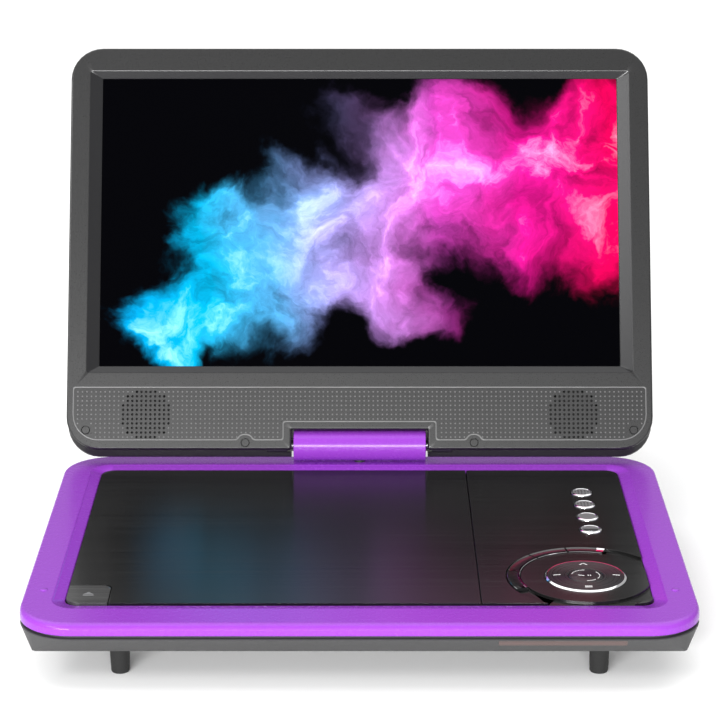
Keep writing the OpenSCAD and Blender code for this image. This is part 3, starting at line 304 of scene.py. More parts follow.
smokeSettings = dict(
    screenLow=31.7, screenHigh=150.5, glow=1.55,
    hues=[  # place across the screen in its own heights, colour
        (-0.86, (0.00, 0.46, 1.00)), (-0.55, (0.00, 0.58, 1.00)), (-0.32, (0.12, 0.52, 1.00)),
        (-0.12, (0.42, 0.42, 0.98)), (0.10, (0.74, 0.28, 0.92)), (0.30, (0.90, 0.08, 0.70)),
        (0.52, (1.00, 0.01, 0.38)), (0.86, (1.00, 0.00, 0.12))],
    puffs=[  # place across and up, radius, weight
        (-0.72, 0.17, 0.16, 1.1), (-0.62, 0.05, 0.14, 1.0), (-0.52, 0.22, 0.17, 0.9),
        (-0.42, 0.36, 0.26, 1.3), (-0.46, 0.55, 0.18, 1.0), (-0.30, 0.20, 0.23, 1.1),
        (-0.17, 0.60, 0.20, 1.1), (-0.10, 0.35, 0.24, 1.1), (0.07, 0.50, 0.26, 1.2), (0.20, 0.72, 0.22, 1.1),
        (0.12, 0.22, 0.17, 0.9), (0.40, 0.60, 0.27, 1.2), (0.36, 0.86, 0.22, 0.9), (0.62, 0.72, 0.29, 1.3),
        (0.62, 0.45, 0.21, 1.0), (0.84, 0.64, 0.28, 1.2), (0.84, 0.90, 0.22, 1.0), (0.84, 0.36, 0.15, 0.8),
        (-0.02, 0.86, 0.16, 0.35), (0.30, 0.15, 0.13, 0.45)])


def makeSmokePicture():
    material, tree, shader, coords = startMaterial("screenPicture")
    s = smokeSettings
    tall = (s["screenHigh"] - s["screenLow"]) * mm
    lidCoords = addNode(tree, "ShaderNodeMapping", {"Vector": coords, "Location": tuple(hingeAt),
                        "Rotation": (-lean, 0, 0)}, vector_type="TEXTURE").outputs["Vector"]
    raised = stretch(tree, lidCoords, Location=(0, 0, -s["screenLow"] * mm / tall),
                     Scale=(1 / tall, 0, 1 / tall))

    def shifted(vector, amount, source):
        centred = vectorNode(tree, "SUBTRACT", {0: source, 1: (0.5, 0.5, 0.5)})
        grown = vectorNode(tree, "SCALE", {0: centred, "Scale": amount})
        return vectorNode(tree, "ADD", {0: vector, 1: grown})

    swirl = shifted(raised, 0.42, noise(tree, raised, 2.4, 5.0, 0.52)["Color"])
    curl = shifted(swirl, 0.22, noise(tree, swirl, 5.5, 6.0, 0.56)["Color"])
    flatten = stretch(tree, curl, Scale=(1, 0, 1))
    density = None
    for side, up, radius, weight in s["puffs"]:
        away = vectorNode(tree, "DISTANCE", {0: flatten, 1: (side, 0, up)}, "Value")
        puff = mapRange(tree, away, radius * 0.15, radius * 1.15, weight, 0.0, "SMOOTHSTEP")
        density = puff if density is None else mathNode(tree, "ADD", density, puff)
    wisps = noise(tree, curl, 3.8, 9.0, 0.60, 0.4)["Fac"]
    shade = mapRange(tree, wisps, 0.30, 0.72, 0.22, 1.30)
    body = mathNode(tree, "MULTIPLY", mapRange(tree, density, 0.12, 1.15, 0.0, 1.0, "SMOOTHSTEP"), shade)
    parts = addNode(tree, "ShaderNodeSeparateXYZ", {"Vector": swirl}).outputs
    ramp = tree.nodes.new("ShaderNodeValToRGB")
    first, last = s["hues"][0][0], s["hues"][-1][0]
    tree.links.new(mapRange(tree, parts["X"], first, last, 0.0, 1.0), ramp.inputs["Fac"])
    stops = ramp.color_ramp.elements
    while len(stops) < len(s["hues"]):
        stops.new(0.5)
    for stop, (side, colour) in zip(stops, s["hues"]):
        stop.position, stop.color = (side - first) / (last - first), (*colour, 1)
    pale = mixInputs(tree, mapRange(tree, body, 0.80, 1.4, 0.0, 0.45), ramp.outputs["Color"],
                     (0.85, 0.88, 1.0, 1))
    lit = vectorNode(tree, "SCALE", {0: pale, "Scale": mathNode(tree, "POWER", body, 1.25)})
    tree.links.new(lit, shader.inputs["Emission Color"])
    shader.inputs["Emission Strength"].default_value = s["glow"]
    shader.inputs["Base Color"].default_value = (0.001, 0.001, 0.0015, 1)
    shader.inputs["Roughness"].default_value = 0.3
    shader.inputs["Specular IOR Level"].default_value = 0.0
    return material


finishes = {name: makeFinish(name, given) for name, given in finishSettings.items()}
finishes["deckBrushed"] = makeBrushed("deckBrushed")
finishes["buttonBrushed"] = makeBrushed("buttonBrushed", brushedSettings["buttonLift"])
finishes["keySpun"] = makeSpun()
finishes["screenPicture"] = makeSmokePicture()
print("finishes made:", len(finishes))


# ---- shaping helpers, all in millimetres

across = Matrix.Rotation(math.radians(90), 3, "Y")  # turns what stands upright to lie along X
bridgeApart = 40
merge = 1e-4


def newGeometry(bm, before):
    return [vert for vert in bm.verts if vert not in before]


def outline(bm, corners, height, steps=8):  # a closed flat loop with rounded corners: (x, y, radius) each
    before = set(bm.edges)
    verts = [bm.verts.new((x, y, height)) for x, y, radius in corners]
    bm.faces.new(verts)
    for vert, (x, y, radius) in zip(verts, corners):
        if radius > 0:
            bmesh.ops.bevel(bm, geom=[vert], offset=radius, offset_type="OFFSET", segments=steps,
                            profile=0.5, affect="VERTICES", material=-1, clamp_overlap=False)
    edges = [edge for edge in bm.edges if edge not in before]
    faces = list({face for edge in edges for face in edge.link_faces})
    bmesh.ops.delete(bm, geom=faces, context="FACES_ONLY")
    return edges


def evenRect(bm, half, front, back, radius, height, steps=8):  # a rounded rectangle about the middle line
    corners = ((-half, front), (half, front), (half, back), (-half, back))
    return outline(bm, [(x, y, radius) for x, y in corners], height, steps)


def rod(bm, radius, depth, place, segments=32):
    bmesh.ops.create_cone(bm, cap_ends=True, segments=segments, radius1=radius, radius2=radius, depth=depth,
                          matrix=place if isinstance(place, Matrix) else Matrix.Translation(place))


def lowered(bm, faces, drop):  # a second layer of the faces, moved along Z and joined by walls
    made = bmesh.ops.extrude_face_region(bm, geom=faces)["geom"]
    verts = [item for item in made if isinstance(item, bmesh.types.BMVert)]
    bmesh.ops.translate(bm, verts=verts, vec=(0, 0, drop))


def ring(bm, x, y, height, radius, segments=24):
    before = set(bm.edges)
    bmesh.ops.create_circle(bm, cap_ends=False, segments=segments, radius=radius,
                            matrix=Matrix.Translation((x, y, height)))
    return [edge for edge in bm.edges if edge not in before]


def bridge(bm, loops, closed=False):  # the loops stand apart while they join, so that none twist
    rings = [list({vert for edge in loop for vert in edge.verts}) for loop in loops]
    heights = [[vert.co.z for vert in loop] for loop in rings]
    for step, loop in enumerate(rings):
        for vert in loop:
            vert.co.z = step * bridgeApart
    pairs = list(zip(loops, loops[1:])) + ([(loops[-1], loops[0])] if closed else [])
    for first, second in pairs:
        bmesh.ops.bridge_loops(bm, edges=first + second)
    for loop, levels in zip(rings, heights):
        for vert, height in zip(loop, levels):
            vert.co.z = height


def fillFlat(bm, edges):
    made = bmesh.ops.triangle_fill(bm, use_beauty=True, use_dissolve=False, edges=edges)
    return [item for item in made["geom"] if isinstance(item, bmesh.types.BMFace)]


def fillOne(bm, edges):
    return bmesh.ops.contextual_create(bm, geom=edges)["faces"]


def lathe(bm, profile, at=(0, 0, 0), turn=None, steps=48, material=None):  # profile of (radius, height)
    before = set(bm.verts)
    verts = [bm.verts.new((radius, 0, height)) for radius, height in profile]
    edges = [bm.edges.new(pair) for pair in zip(verts, verts[1:])]
    bmesh.ops.spin(bm, geom=verts + edges, cent=(0, 0, 0), axis=(0, 0, 1), angle=2 * math.pi, steps=steps,
                   use_merge=True, use_duplicate=False)
    made = newGeometry(bm, before)
    bmesh.ops.remove_doubles(bm, verts=made, dist=merge)
    made = newGeometry(bm, before)
    if turn:
        bmesh.ops.rotate(bm, verts=made, cent=(0, 0, 0), matrix=turn)
    bmesh.ops.translate(bm, verts=made, vec=at)
    for face in {face for vert in made for face in vert.link_faces}:
        if material is not None:
            face.material_index = material
    return made


def block(bm, left, right, front, back, low, high, bevel=0.0, steps=2):
    before = set(bm.verts)
    bmesh.ops.create_cube(bm, size=1)
    made = newGeometry(bm, before)
    bmesh.ops.scale(bm, verts=made, vec=(right - left, back - front, high - low))
    bmesh.ops.translate(bm, verts=made, vec=((left + right) / 2, (front + back) / 2, (low + high) / 2))
    if bevel:
        edges = list({edge for vert in made for edge in vert.link_edges})
        bmesh.ops.bevel(bm, geom=edges, offset=bevel, offset_type="OFFSET", segments=steps, profile=0.5,
                        affect="EDGES", material=-1, clamp_overlap=True)
    return newGeometry(bm, before)


def roundEdges(bm, width, steps=2, sharper=50, where=None):
    edges = [edge for edge in bm.edges if edge.is_manifold
             and edge.calc_face_angle() > math.radians(sharper) and (where is None or where(edge))]
    bmesh.ops.bevel(bm, geom=edges, offset=width, offset_type="OFFSET", segments=steps, profile=0.5,
                    affect="EDGES", material=-1, clamp_overlap=True)


def carve(bm, tool, operation="DIFFERENCE"):  # cuts one closed shape from another, or joins them
    things = []
    for shape in (bm, tool):
        bmesh.ops.recalc_face_normals(shape, faces=shape.faces)
        mesh = bpy.data.meshes.new("carve")
        shape.to_mesh(mesh)
        shape.free()
        things.append(bpy.data.objects.new("carve", mesh))
        scene.collection.objects.link(things[-1])
    modifier = things[0].modifiers.new("carve", "BOOLEAN")
    modifier.object, modifier.operation, modifier.solver = things[1], operation, "EXACT"
    made = bmesh.new()
    made.from_object(things[0], bpy.context.evaluated_depsgraph_get())
    for thing in things:
        mesh = thing.data
        bpy.data.objects.remove(thing)
        bpy.data.meshes.remove(mesh)
    bmesh.ops.remove_doubles(made, verts=made.verts, dist=merge)
    return made


def plateau(bm, loops, low, high, rounding=0.2, steps=2):  # a flat plate below outlines drawn at the top
    lowered(bm, fillFlat(bm, [edge for loop in loops for edge in loop]), low - high)
    bmesh.ops.recalc_face_normals(bm, faces=bm.faces)
    if rounding:
        roundEdges(bm, rounding, steps, where=lambda edge: all(abs(v.co.z - high) < 1e-3 for v in edge.verts))


def finishPiece(name, bm, body, finishNames, nodes=(), place=Matrix(), smoothBelow=35,
                recalculate=True, strokes=False, flatAbove=12.0):
    if recalculate:
        bmesh.ops.recalc_face_normals(bm, faces=bm.faces)
    bm.transform(place @ Matrix.Scale(mm, 4))
    if strokes:  # a map whose first direction runs across the brush strokes, the way their glints stretch
        layer = bm.loops.layers.uv.new("strokes")
        for face in bm.faces:
            for corner in face.loops:
                corner[layer].uv = strokes(corner.vert.co) if callable(strokes) else corner.vert.co.yx
    mesh = bpy.data.meshes.new(name)
    bm.to_mesh(mesh)
    bm.free()
    mesh.shade_smooth()
    mesh.set_sharp_from_angle(angle=math.radians(smoothBelow))
    for polygon in mesh.polygons:  # broad faces stay plain, so that narrow roundings don't bend their shading
        polygon.use_smooth = polygon.area < flatAbove * mm * mm
    piece = bpy.data.objects.new(name, mesh)
    scene.collection.objects.link(piece)
    for finish in finishNames:
        mesh.materials.append(finishes[finish])
    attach(piece, body)
    if nodes:
        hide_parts(*nodes)
    return piece


def copyNode(node, body, finishName, smoothBelow=30, rounding=0.0, strokes=False):
    source = frame["nodes"][node]
    bm = bmesh.new()
    bm.from_mesh(source.data)
    bm.transform(Matrix.Scale(1 / mm, 4))
    bmesh.ops.remove_doubles(bm, verts=bm.verts, dist=merge)
    bmesh.ops.dissolve_limit(bm, angle_limit=math.radians(0.5), verts=bm.verts, edges=bm.edges)
    if rounding:
        roundEdges(bm, rounding, 2, 45)
    for face in bm.faces:
        face.material_index = 0
    return finishPiece(node + "_smooth", bm, body, [finishName], [node], smoothBelow=smoothBelow,
                       recalculate=False, strokes=strokes)


buildStage()
print("stage set")

# ---- base

rimSettings = dict(skirtLow=19.9, skirtWall=1.8, flatUnder=2.2, sideEdge=0.9, frontEdge=2.8, edgeHigh=2.0,
                   lipSide=4.4, lipBack=5.4, lipFront=5.3, lipDrop=1.2, gap=0.4, backGap=1.1, lipRound=8,
                   wellRound=5, wellBackRound=3.8, postHole=2.6, steps=10, arcSteps=6)


def buildRim():
    s = rimSettings
    bm = bmesh.new()
    steps = s["steps"]

    def outer(inset, frontInset, height):
        return evenRect(bm, baseRight - inset, baseFront + frontInset, baseBack - inset, cornerRound - inset,
                        height, steps)

    low, wall = s["skirtLow"], s["skirtWall"]
    under, lipFloor = rimTop - s["flatUnder"], rimTop - s["lipDrop"]
    loops = [outer(wall, wall, low), outer(0.25, 0.25, low), outer(0, 0, low + 0.25)]
    for step in range(s["arcSteps"] + 1):
        angle = math.radians(90 * step / s["arcSteps"])
        loops.append(outer(s["sideEdge"] * (1 - math.cos(angle)), s["frontEdge"] * (1 - math.cos(angle)),
                           rimTop - s["edgeHigh"] * (1 - math.sin(angle))))
    lipLeft = deckRight + s["lipSide"]
    lipFront, lipBack = deckFront - s["lipFront"], deckBack + s["lipBack"]
    for grow, drop in ((0.5, 0.0), (0.15, 0.06), (-0.2, 0.25)):
        loops.append(evenRect(bm, lipLeft + grow, lipFront - grow, lipBack + grow, s["lipRound"] + grow,
                              rimTop - drop, steps))
    for grow, height in ((0.3, lipFloor + 0.08), (0, lipFloor - 0.2), (0, under)):
        x, front = deckRight + s["gap"] + grow, deckFront - s["gap"] - grow
        back = deckBack + s["backGap"] + grow
        frontRound, backRound = s["wellRound"] + grow, s["wellBackRound"] + grow
        loops.append(outline(bm, [(-x, front, frontRound), (x, front, frontRound), (x, back, backRound),
                                  (-x, back, backRound)], height, steps))
    loops.append(outer(wall, wall, under))
    bridge(bm, loops, closed=True)
    hole = bmesh.new()
    rod(hole, s["postHole"], 20, (0, hingeAt.y / mm, rimTop))
    finishPiece("rim", carve(bm, hole), "base", ["purpleGloss"], ["top_rim"])


shellSettings = dict(sideDraw=5.35, frontDraw=5.4, backDraw=1.0, wall=1.8, floor=1.5, top=18.7, low=11.9,
                     register=(2.0, 3.3), registerTop=19.7, podLow=3.9, podX=104.0, podFront=-60.0,
                     podBack=66.0, podTaper=4.0, podRound=4.0, cornerLow=0.8, steps=10)


def buildShell():
    s = shellSettings
    bm = bmesh.new()
    steps = s["steps"]

    def upper(inset, height):
        return evenRect(bm, baseRight - inset, baseFront + inset, baseBack - inset, cornerRound - inset,
                        height, steps)

    def lower(inset, height):
        return evenRect(bm, baseRight - s["sideDraw"] - inset, baseFront + s["frontDraw"] + inset,
                        baseBack - s["backDraw"] - inset, s["cornerLow"], height, steps)

    def pod(inset, height, radius=s["podRound"]):
        return evenRect(bm, s["podX"] - inset, s["podFront"] + inset, s["podBack"] - inset, radius, height,
                        steps)

    top, low, wall, floor, taper, podLow, registerTop = (
        s[key] for key in ("top", "low", "wall", "floor", "podTaper", "podLow", "registerTop"))
    registerOut, registerIn = s["register"]
    loops = [pod(taper + 1.2, podLow, 3), pod(taper + 0.4, podLow + 0.35, 3.6),
             pod(taper - 0.1, podLow + 1.1), pod(0.3, low - 0.4), pod(0, low), lower(0.5, low),
             lower(0, low + 0.4), upper(0.0, top - 0.3), upper(0.3, top), upper(registerOut, top),
             upper(registerOut, registerTop), upper(registerIn, registerTop),
             upper(registerIn + 0.3, top - 0.8), lower(wall, low + floor), pod(floor, low + floor),
             pod(taper + floor, podLow + floor, 3)]
    bridge(bm, loops)
    fillOne(bm, loops[0])
    fillOne(bm, loops[-1])
    tool = bmesh.new()
    cutSockets(tool)
    finishPiece("shell", carve(bm, tool), "base", ["shellPlastic"], ["bottom_shell"],
                smoothBelow=25)


socketSettings = dict(
    height=15.6, wallIn=7.25, jacks=(-18.0, -8.0), inlet=47.0, nose=2.7, usb=(6.0, 6.9), usbLow=13.3,
    usbHigh=18.3, card=(28.0, 13.0), wheel=(-34.0, 9.5), wheelSlot=2.8, switch=(-50.0, 5.6), switchHigh=1.4,
    screwX=107.0, screwHead=2.6, screwAt=11.4, screwFronts=(-72.0, 64.5), footX=83.6, footYs=(-70.5, 73.5),
    footHole=2.05, footAt=12)


def cutSockets(tool):
    s = socketSettings
    inner, outer, height = baseRight - s["wallIn"] - 2, baseRight + 2, s["height"]
    for y in (*s["jacks"], s["inlet"]):
        rod(tool, s["nose"], outer - inner,
            Matrix.Translation(((inner + outer) / 2, y, height)) @ across.to_4x4())
    (usbY, usbHalf), (cardY, cardHalf), (switchY, switchHalf) = s["usb"], s["card"], s["switch"]
    block(tool, inner, outer, usbY - usbHalf, usbY + usbHalf, s["usbLow"], s["usbHigh"])
    block(tool, inner, outer, cardY - cardHalf, cardY + cardHalf, height - 0.2, height + 2.2, 0.3)
    block(tool, inner, outer, switchY - switchHalf, switchY + switchHalf, height - s["switchHigh"],
          height + s["switchHigh"], 0.3)
    wheelY, wheelRadius = s["wheel"]
    wheelRight = nodeBox("volume_wheel")[1].x
    rod(tool, wheelRadius, s["wheelSlot"], (wheelRight - wheelRadius + 0.5, wheelY, height), 64)
    for side in (-1, 1):
        for y in s["screwFronts"]:
            rod(tool, s["screwHead"], 4, (side * s["screwX"], y, s["screwAt"]))
    for side in (-1, 1):
        for y in s["footYs"]:
            rod(tool, s["footHole"], 6, (side * s["footX"], y, s["footAt"]), 24)


footSettings = dict(end=3.25, top=3.7, high=11.9, rounding=0.6, stem=1.95)


def buildFeet():
    bm = bmesh.new()
    end, top, high, rounding, stem = footSettings.values()
    for x in (-socketSettings["footX"], socketSettings["footX"]):
        for y in socketSettings["footYs"]:
            lathe(bm, [(0, 0), (end - rounding - 0.8, 0), (end - rounding, 0.05),
                       (end - rounding * 0.3, rounding * 0.3), (end, rounding), (top - 0.1, high - 0.5),
                       (top, high - 0.3), (top, high), (stem, high), (stem, high + 2.1), (2.6, high + 1.55),
                       (2.5, high + 2.4), (0, high + 2.4)], at=(x, y, 0))
    finishPiece("feet", bm, "base", ["rubberBlack"], ["rubber_feet"])


bumperSettings = dict(radius=1.4, high=0.35)


def buildBumpers():
    bm = bmesh.new()
    low, high = nodeBox("rim_bumpers")
    radius, rise = bumperSettings["radius"], bumperSettings["high"]
    for x in (low.x + radius, high.x - radius):
        lathe(bm, [(0, rise), (radius * 0.45, rise), (radius * 0.75, rise * 0.82),
                   (radius * 0.93, rise * 0.45), (radius, 0.02), (radius, -0.1), (0, -0.1)],
              at=(x, (low.y + high.y) / 2, rimTop), steps=32)
    finishPiece("bumpers", bm, "base", ["purpleGloss"], ["rim_bumpers"])


buildRim()
buildShell()
buildFeet()
buildBumpers()
print("base casing built")

# ---- deck: disc cover, open button, control panel

coverSettings = dict(thick=1.6, cornerRound=5, seamRound=0.3, notchRound=3.2, gap=0.4, openWide=14.8,
                     openLong=16.3, rounding=0.22, knuckleR=1.5, knuckleW=4, knuckleIn=3.8, axisIn=4.6,
                     axisHigh=20.6, pinR=0.7, pinHalf=1.5)


def paintFrontEdgeHighlight(bm):  # the rounded front edge of a deck plate takes the second finish, a light grey for a bright cut chamfer and a painted highlight line
    for face in bm.faces:
        centre = face.calc_center_median()
        if centre.y < deckFront + 0.3 and centre.z > deckTop - 0.45 and face.normal.y < -0.2:
            face.material_index = 1


def buildCover():
    s = coverSettings
    left, right = -deckRight, coverRight
    splitX, splitY = left + s["openWide"] + s["gap"], deckFront + s["openLong"] + s["gap"]
    low = deckTop - s["thick"]
    bm = bmesh.new()
    loop = outline(bm, [(splitX, deckFront, s["seamRound"]), (right, deckFront, s["seamRound"]),
                        (right, deckBack, s["seamRound"]), (left, deckBack, s["cornerRound"]),
                        (left, splitY, s["seamRound"]), (splitX, splitY, s["notchRound"])], deckTop)
    plateau(bm, [loop], low, deckTop, s["rounding"])
    paintFrontEdgeHighlight(bm)
    # knuckles, pins and the latch tongue below
    axisY, axisZ = deckBack - s["axisIn"], s["axisHigh"]
    half, radius, pinHalf = s["knuckleW"] / 2, s["knuckleR"], s["pinHalf"]
    for side, end in ((-1, left), (1, right)):
        x = end - side * (s["knuckleIn"] + half)
        lathe(bm, [(0, -half), (radius - 0.2, -half), (radius, -half + 0.2), (radius, half - 0.2),
                   (radius - 0.2, half), (0, half)], at=(x, axisY, axisZ), turn=across)
        block(bm, x - half, x + half, axisY - radius, axisY + radius, axisZ, low + 0.1, 0.1)
        lathe(bm, [(0, -pinHalf), (s["pinR"], -pinHalf), (s["pinR"], pinHalf), (0, pinHalf)],
              at=(x + side * (half + 1.4), axisY, axisZ), turn=across, steps=24)
    latchLow, latchHigh = nodeBox("cover_latch")
    block(bm, latchHigh.x + 0.2, latchHigh.x + 2.2, latchLow.y - 1, latchHigh.y + 1, latchLow.z + 0.6,
          low + 0.1, 0.2)
    finishPiece("cover", bm, "cover", ["deckBrushed", "cutEdgeAndHighlight"], ["disc_cover"],
                strokes=True)


def buildOpenButton():
    s = coverSettings
    left, front = -deckRight, deckFront
    right, back = left + s["openWide"], front + s["openLong"]
    low = deckTop - s["thick"]
    bm = bmesh.new()
    loop = outline(bm, [(left, front, s["cornerRound"]), (right, front, 0.4),
                        (right, back, s["notchRound"]), (left, back, 0.4)], deckTop)
    plateau(bm, [loop], low, deckTop, 0.3, 3)
    paintFrontEdgeHighlight(bm)
    latchLow, latchHigh = nodeBox("cover_latch")
    block(bm, left + 3.8, right - 3.8, latchLow.y + 0.2, latchHigh.y - 0.2, latchHigh.z + 1.1, low + 0.1, 0.2)
    finishPiece("open_button_cap", bm, "button", ["buttonBrushed", "cutEdgeAndHighlight"], ["open_button"],
                strokes=True)
    mark = bmesh.new()
    x, y, reach, markTop = (left + right) / 2, (front + back) / 2, 1.9, deckTop + 0.06
    bar, arrow = (y - 1.3, y - 0.75), (y - 0.2, y + 1.9)
    for corners in ([(x - reach, arrow[0], 0.1), (x + reach, arrow[0], 0.1), (x, arrow[1], 0.2)],
                    [(x - reach, bar[0], 0.1), (x + reach, bar[0], 0.1), (x + reach, bar[1], 0.1),
                     (x - reach, bar[1], 0.1)]):
        plateau(mark, [outline(mark, corners, markTop)], deckTop - 0.05, markTop, 0)
    finishPiece("open_mark", mark, "button", ["keyGrey"])


buildCover()
buildOpenButton()
copyNode("control_panel", "base", "deckBrushed", rounding=0.12, strokes=True)
print("deck built")

# ---- keys

keySettings = dict(radius=4.25, cap=3.55, flange=0.75, flangeThick=0.5, dotSpace=(1.25, 1.55), dotWithin=2.9)


def middleOf(low, high):
    return Vector(((low.x + high.x) / 2, (low.y + high.y) / 2, 0))


def buildRoundKeys():
    s = keySettings
    radius, cap, thick = s["radius"], s["cap"], s["flangeThick"]
    wide, (spaceX, spaceY) = radius + s["flange"], s["dotSpace"]
    for index in range(4):
        low, high = nodeBox("round_key_%d" % (index + 1))
        middle, top, foot = middleOf(low, high), high.z, low.z
        bm = bmesh.new()
        lathe(bm, [(0, foot), (wide, foot), (wide, foot + thick), (radius, foot + thick),
                   (radius, top - 0.55), (radius - 0.12, top - 0.28), (cap + 0.12, top - 0.02), (cap, top),
                   (cap - 0.15, top - 0.12), (0, top - 0.12)], at=middle, material=0)
        for face in bm.faces:  # the sunk cap takes the second finish
            centre = face.calc_center_median()
            if (centre.xy - middle.xy).length < cap - 0.1 and centre.z > top - 0.2:
                face.material_index = 1
        if index < 2:  # a field of raised dots
            for x in (step * spaceX for step in range(-2, 3)):
                for y in (-spaceY, 0, spaceY):
                    if math.hypot(x, y) <= s["dotWithin"]:
                        lathe(bm, [(0, 0.1), (0.28, 0.08), (0.42, 0.0), (0.42, -0.05), (0, -0.05)],
                              at=(middle.x + x, middle.y + y, top - 0.12), steps=10, material=2)
        if index == 3:  # a raised front half
            near, far = middle.y - 0.2, middle.y - 2.4
            loop = outline(bm, [(middle.x - 3.1, near, 0.1), (middle.x - 2.2, far, 0.9),
                                (middle.x + 2.2, far, 0.9), (middle.x + 3.1, near, 0.1)], top + 0.02)
            lowered(bm, fillFlat(bm, loop), -0.16)
        name = "key_%d" % (index + 1)
        finishPiece(name, bm, name, ["chrome", "keyGrey", "keyBlack"], ["round_key_%d" % (index + 1)])


padSettings = dict(
    radius=14.6, hole=6.3, centre=6.1, flange=0.75, flangeThick=0.5, rimWide=0.93, spread=30,
    strokes=[  # angle round the pad, reach, length, width, turn
        (93.8, 10.8, 1.9, 0.32, 48), (86.2, 10.8, 1.9, 0.32, -48), (177, 10.3, 2.6, 0.38, 12),
        (2, 11.0, 2.6, 0.38, -12), (271, 9.9, 2.6, 0.36, 0), (271, 10.8, 2.6, 0.36, 0)],
    centreStrokes=[(180, 1.6, 2.3, 0.34, -18), (0, 0.9, 0.9, 0.3, 90), (0, 1.7, 0.9, 0.3, 90)],
    dashes=dict(reach=5.0, long=0.78, wide=0.22, apart=8, runs=((95, 9), (275, 5), (330, 9))))


def buildPad():
    s = padSettings
    low, high = nodeBox("nav_pad")
    middle, top, foot = middleOf(low, high), high.z, low.z
    radius, hole, flange, thick = s["radius"], s["hole"], s["flange"], s["flangeThick"]
    inner = hole + 0.95
    bm = bmesh.new()
    lathe(bm, [(inner, foot), (radius + flange, foot), (radius + flange, foot + thick),
               (radius, foot + thick), (radius, top - 0.50), (radius - 0.25, top - 0.30),
               (radius - 0.75, top - 0.02), (radius - 0.95, top - 0.05), (hole + 0.15, top - 0.05),
               (hole, top - 0.2), (hole, foot + 0.9), (inner, foot + 0.9), (inner, foot)],
          at=middle, steps=96, material=0)
    for face in bm.faces:
        centre = face.calc_center_median()
        if (centre.xy - middle.xy).length > radius - s["rimWide"] and centre.z > deckTop - 0.3:
            face.material_index = 1
    for stroke in s["strokes"]:
        printStroke(bm, middle, top - 0.05, *stroke)

    def around(co):
        away = co.xy - middle.xy * mm
        return away.length * s["spread"], math.atan2(away.y, away.x)

    looks = ["keySpun", "chrome", "markWhite"]
    finishPiece("pad", bm, "pad", looks, ["nav_pad"], strokes=around)
    low, high = nodeBox("centre_key")
    radius, top, foot = s["centre"], high.z, low.z
    bm = bmesh.new()
    lathe(bm, [(0, foot), (radius + flange, foot), (radius + flange, foot + thick), (radius, foot + thick),
               (radius, top - 0.3), (radius - 0.25, top - 0.05), (radius - 0.5, top - 0.02), (0, top - 0.02)],
          at=middle, steps=64, material=0)
    dashes = s["dashes"]
    turns = [start + step * dashes["apart"] for start, count in dashes["runs"] for step in range(count)]
    ringStrokes = [(turn, dashes["reach"], dashes["long"], dashes["wide"], turn + 90) for turn in turns]
    for stroke in s["centreStrokes"] + ringStrokes:
        printStroke(bm, middle, top - 0.02, *stroke)
    finishPiece("centre", bm, "centre", looks, ["centre_key"], strokes=around)


def printStroke(bm, middle, height, angle, reach, long, wide, turn):  # a thin printed line on a key
    made = block(bm, -long / 2, long / 2, -wide / 2, wide / 2, -0.03, 0.05)
    for face in {face for vert in made for face in vert.link_faces}:
        face.material_index = 2
    bmesh.ops.rotate(bm, verts=made, cent=(0, 0, 0), matrix=Matrix.Rotation(math.radians(turn), 3, "Z"))
    angle = math.radians(angle)
    away = Vector((reach * math.cos(angle), reach * math.sin(angle), height))
    bmesh.ops.translate(bm, verts=made, vec=middle + away)


arcSettings = dict(inner=23.5, outer=28.0, edges=(70, 101, 133, 169, 206), split=1.4, flange=0.6, lip=0.75,
                   brightEnds=((6, -9), (-9, -9), (-9, 1.9), (-9, 5)))  # degrees from each end, or none


def buildArcs():
    s = arcSettings
    middle = middleOf(*nodeBox("centre_key"))
    inner, outer, flange, lip = (s[key] for key in ("inner", "outer", "flange", "lip"))
    for index in range(4):
        low, high = nodeBox("arc_key_%d" % (index + 1))
        top, foot = high.z, low.z
        start = s["edges"][index] + s["split"] / 2
        sweep = s["edges"][index + 1] - s["split"] / 2 - start
        bm = bmesh.new()
        profile = [(inner - flange, foot), (inner - flange, foot + 0.5), (inner, foot + 0.5),
                   (inner, top - 0.1), (inner + 0.1, top), (inner + lip, top),
                   (inner + lip + 0.08, top - 0.1), (outer - 0.3, top - 0.1), (outer - 0.15, top),
                   (outer, top - 0.15), (outer, foot + 0.5), (outer + flange, foot + 0.5),
                   (outer + flange, foot)]
        verts = [bm.verts.new((radius, 0, height)) for radius, height in profile]
        bm.faces.new(verts)
        bmesh.ops.rotate(bm, verts=verts, cent=(0, 0, 0), matrix=Matrix.Rotation(math.radians(start), 3, "Z"))
        bmesh.ops.spin(bm, geom=bm.faces[:] + bm.edges[:] + bm.verts[:], cent=(0, 0, 0), axis=(0, 0, 1),
                       angle=math.radians(sweep), steps=20, use_duplicate=False)
        bmesh.ops.recalc_face_normals(bm, faces=bm.faces)
        for face in bm.faces:  # a bright line inside, and bright ends
            centre = face.calc_center_median()
            past = math.degrees(math.atan2(centre.y, centre.x)) % 360 - start
            line = abs(face.normal.z) > 0.5 and centre.z > top - 0.2 and centre.xy.length < inner + lip + 0.02
            startEnd, farEnd = s["brightEnds"][index]
            if line or (centre.z > deckTop - 0.3 and (past < startEnd or past > sweep - farEnd)):
                face.material_index = 1
        bmesh.ops.translate(bm, verts=bm.verts, vec=middle)
        name = "arc_%d" % (index + 1)
        finishPiece(name, bm, name, ["keyBlack", "chrome"], ["arc_key_%d" % (index + 1)])


buildRoundKeys()
buildPad()
buildArcs()
print("keys built")

# ---- hinge

barrelSettings = dict(radius=6.1, half=26.6, wall=1.6, edge=0.25, pinRadius=1.5, postHole=2.2, pinNear=8)


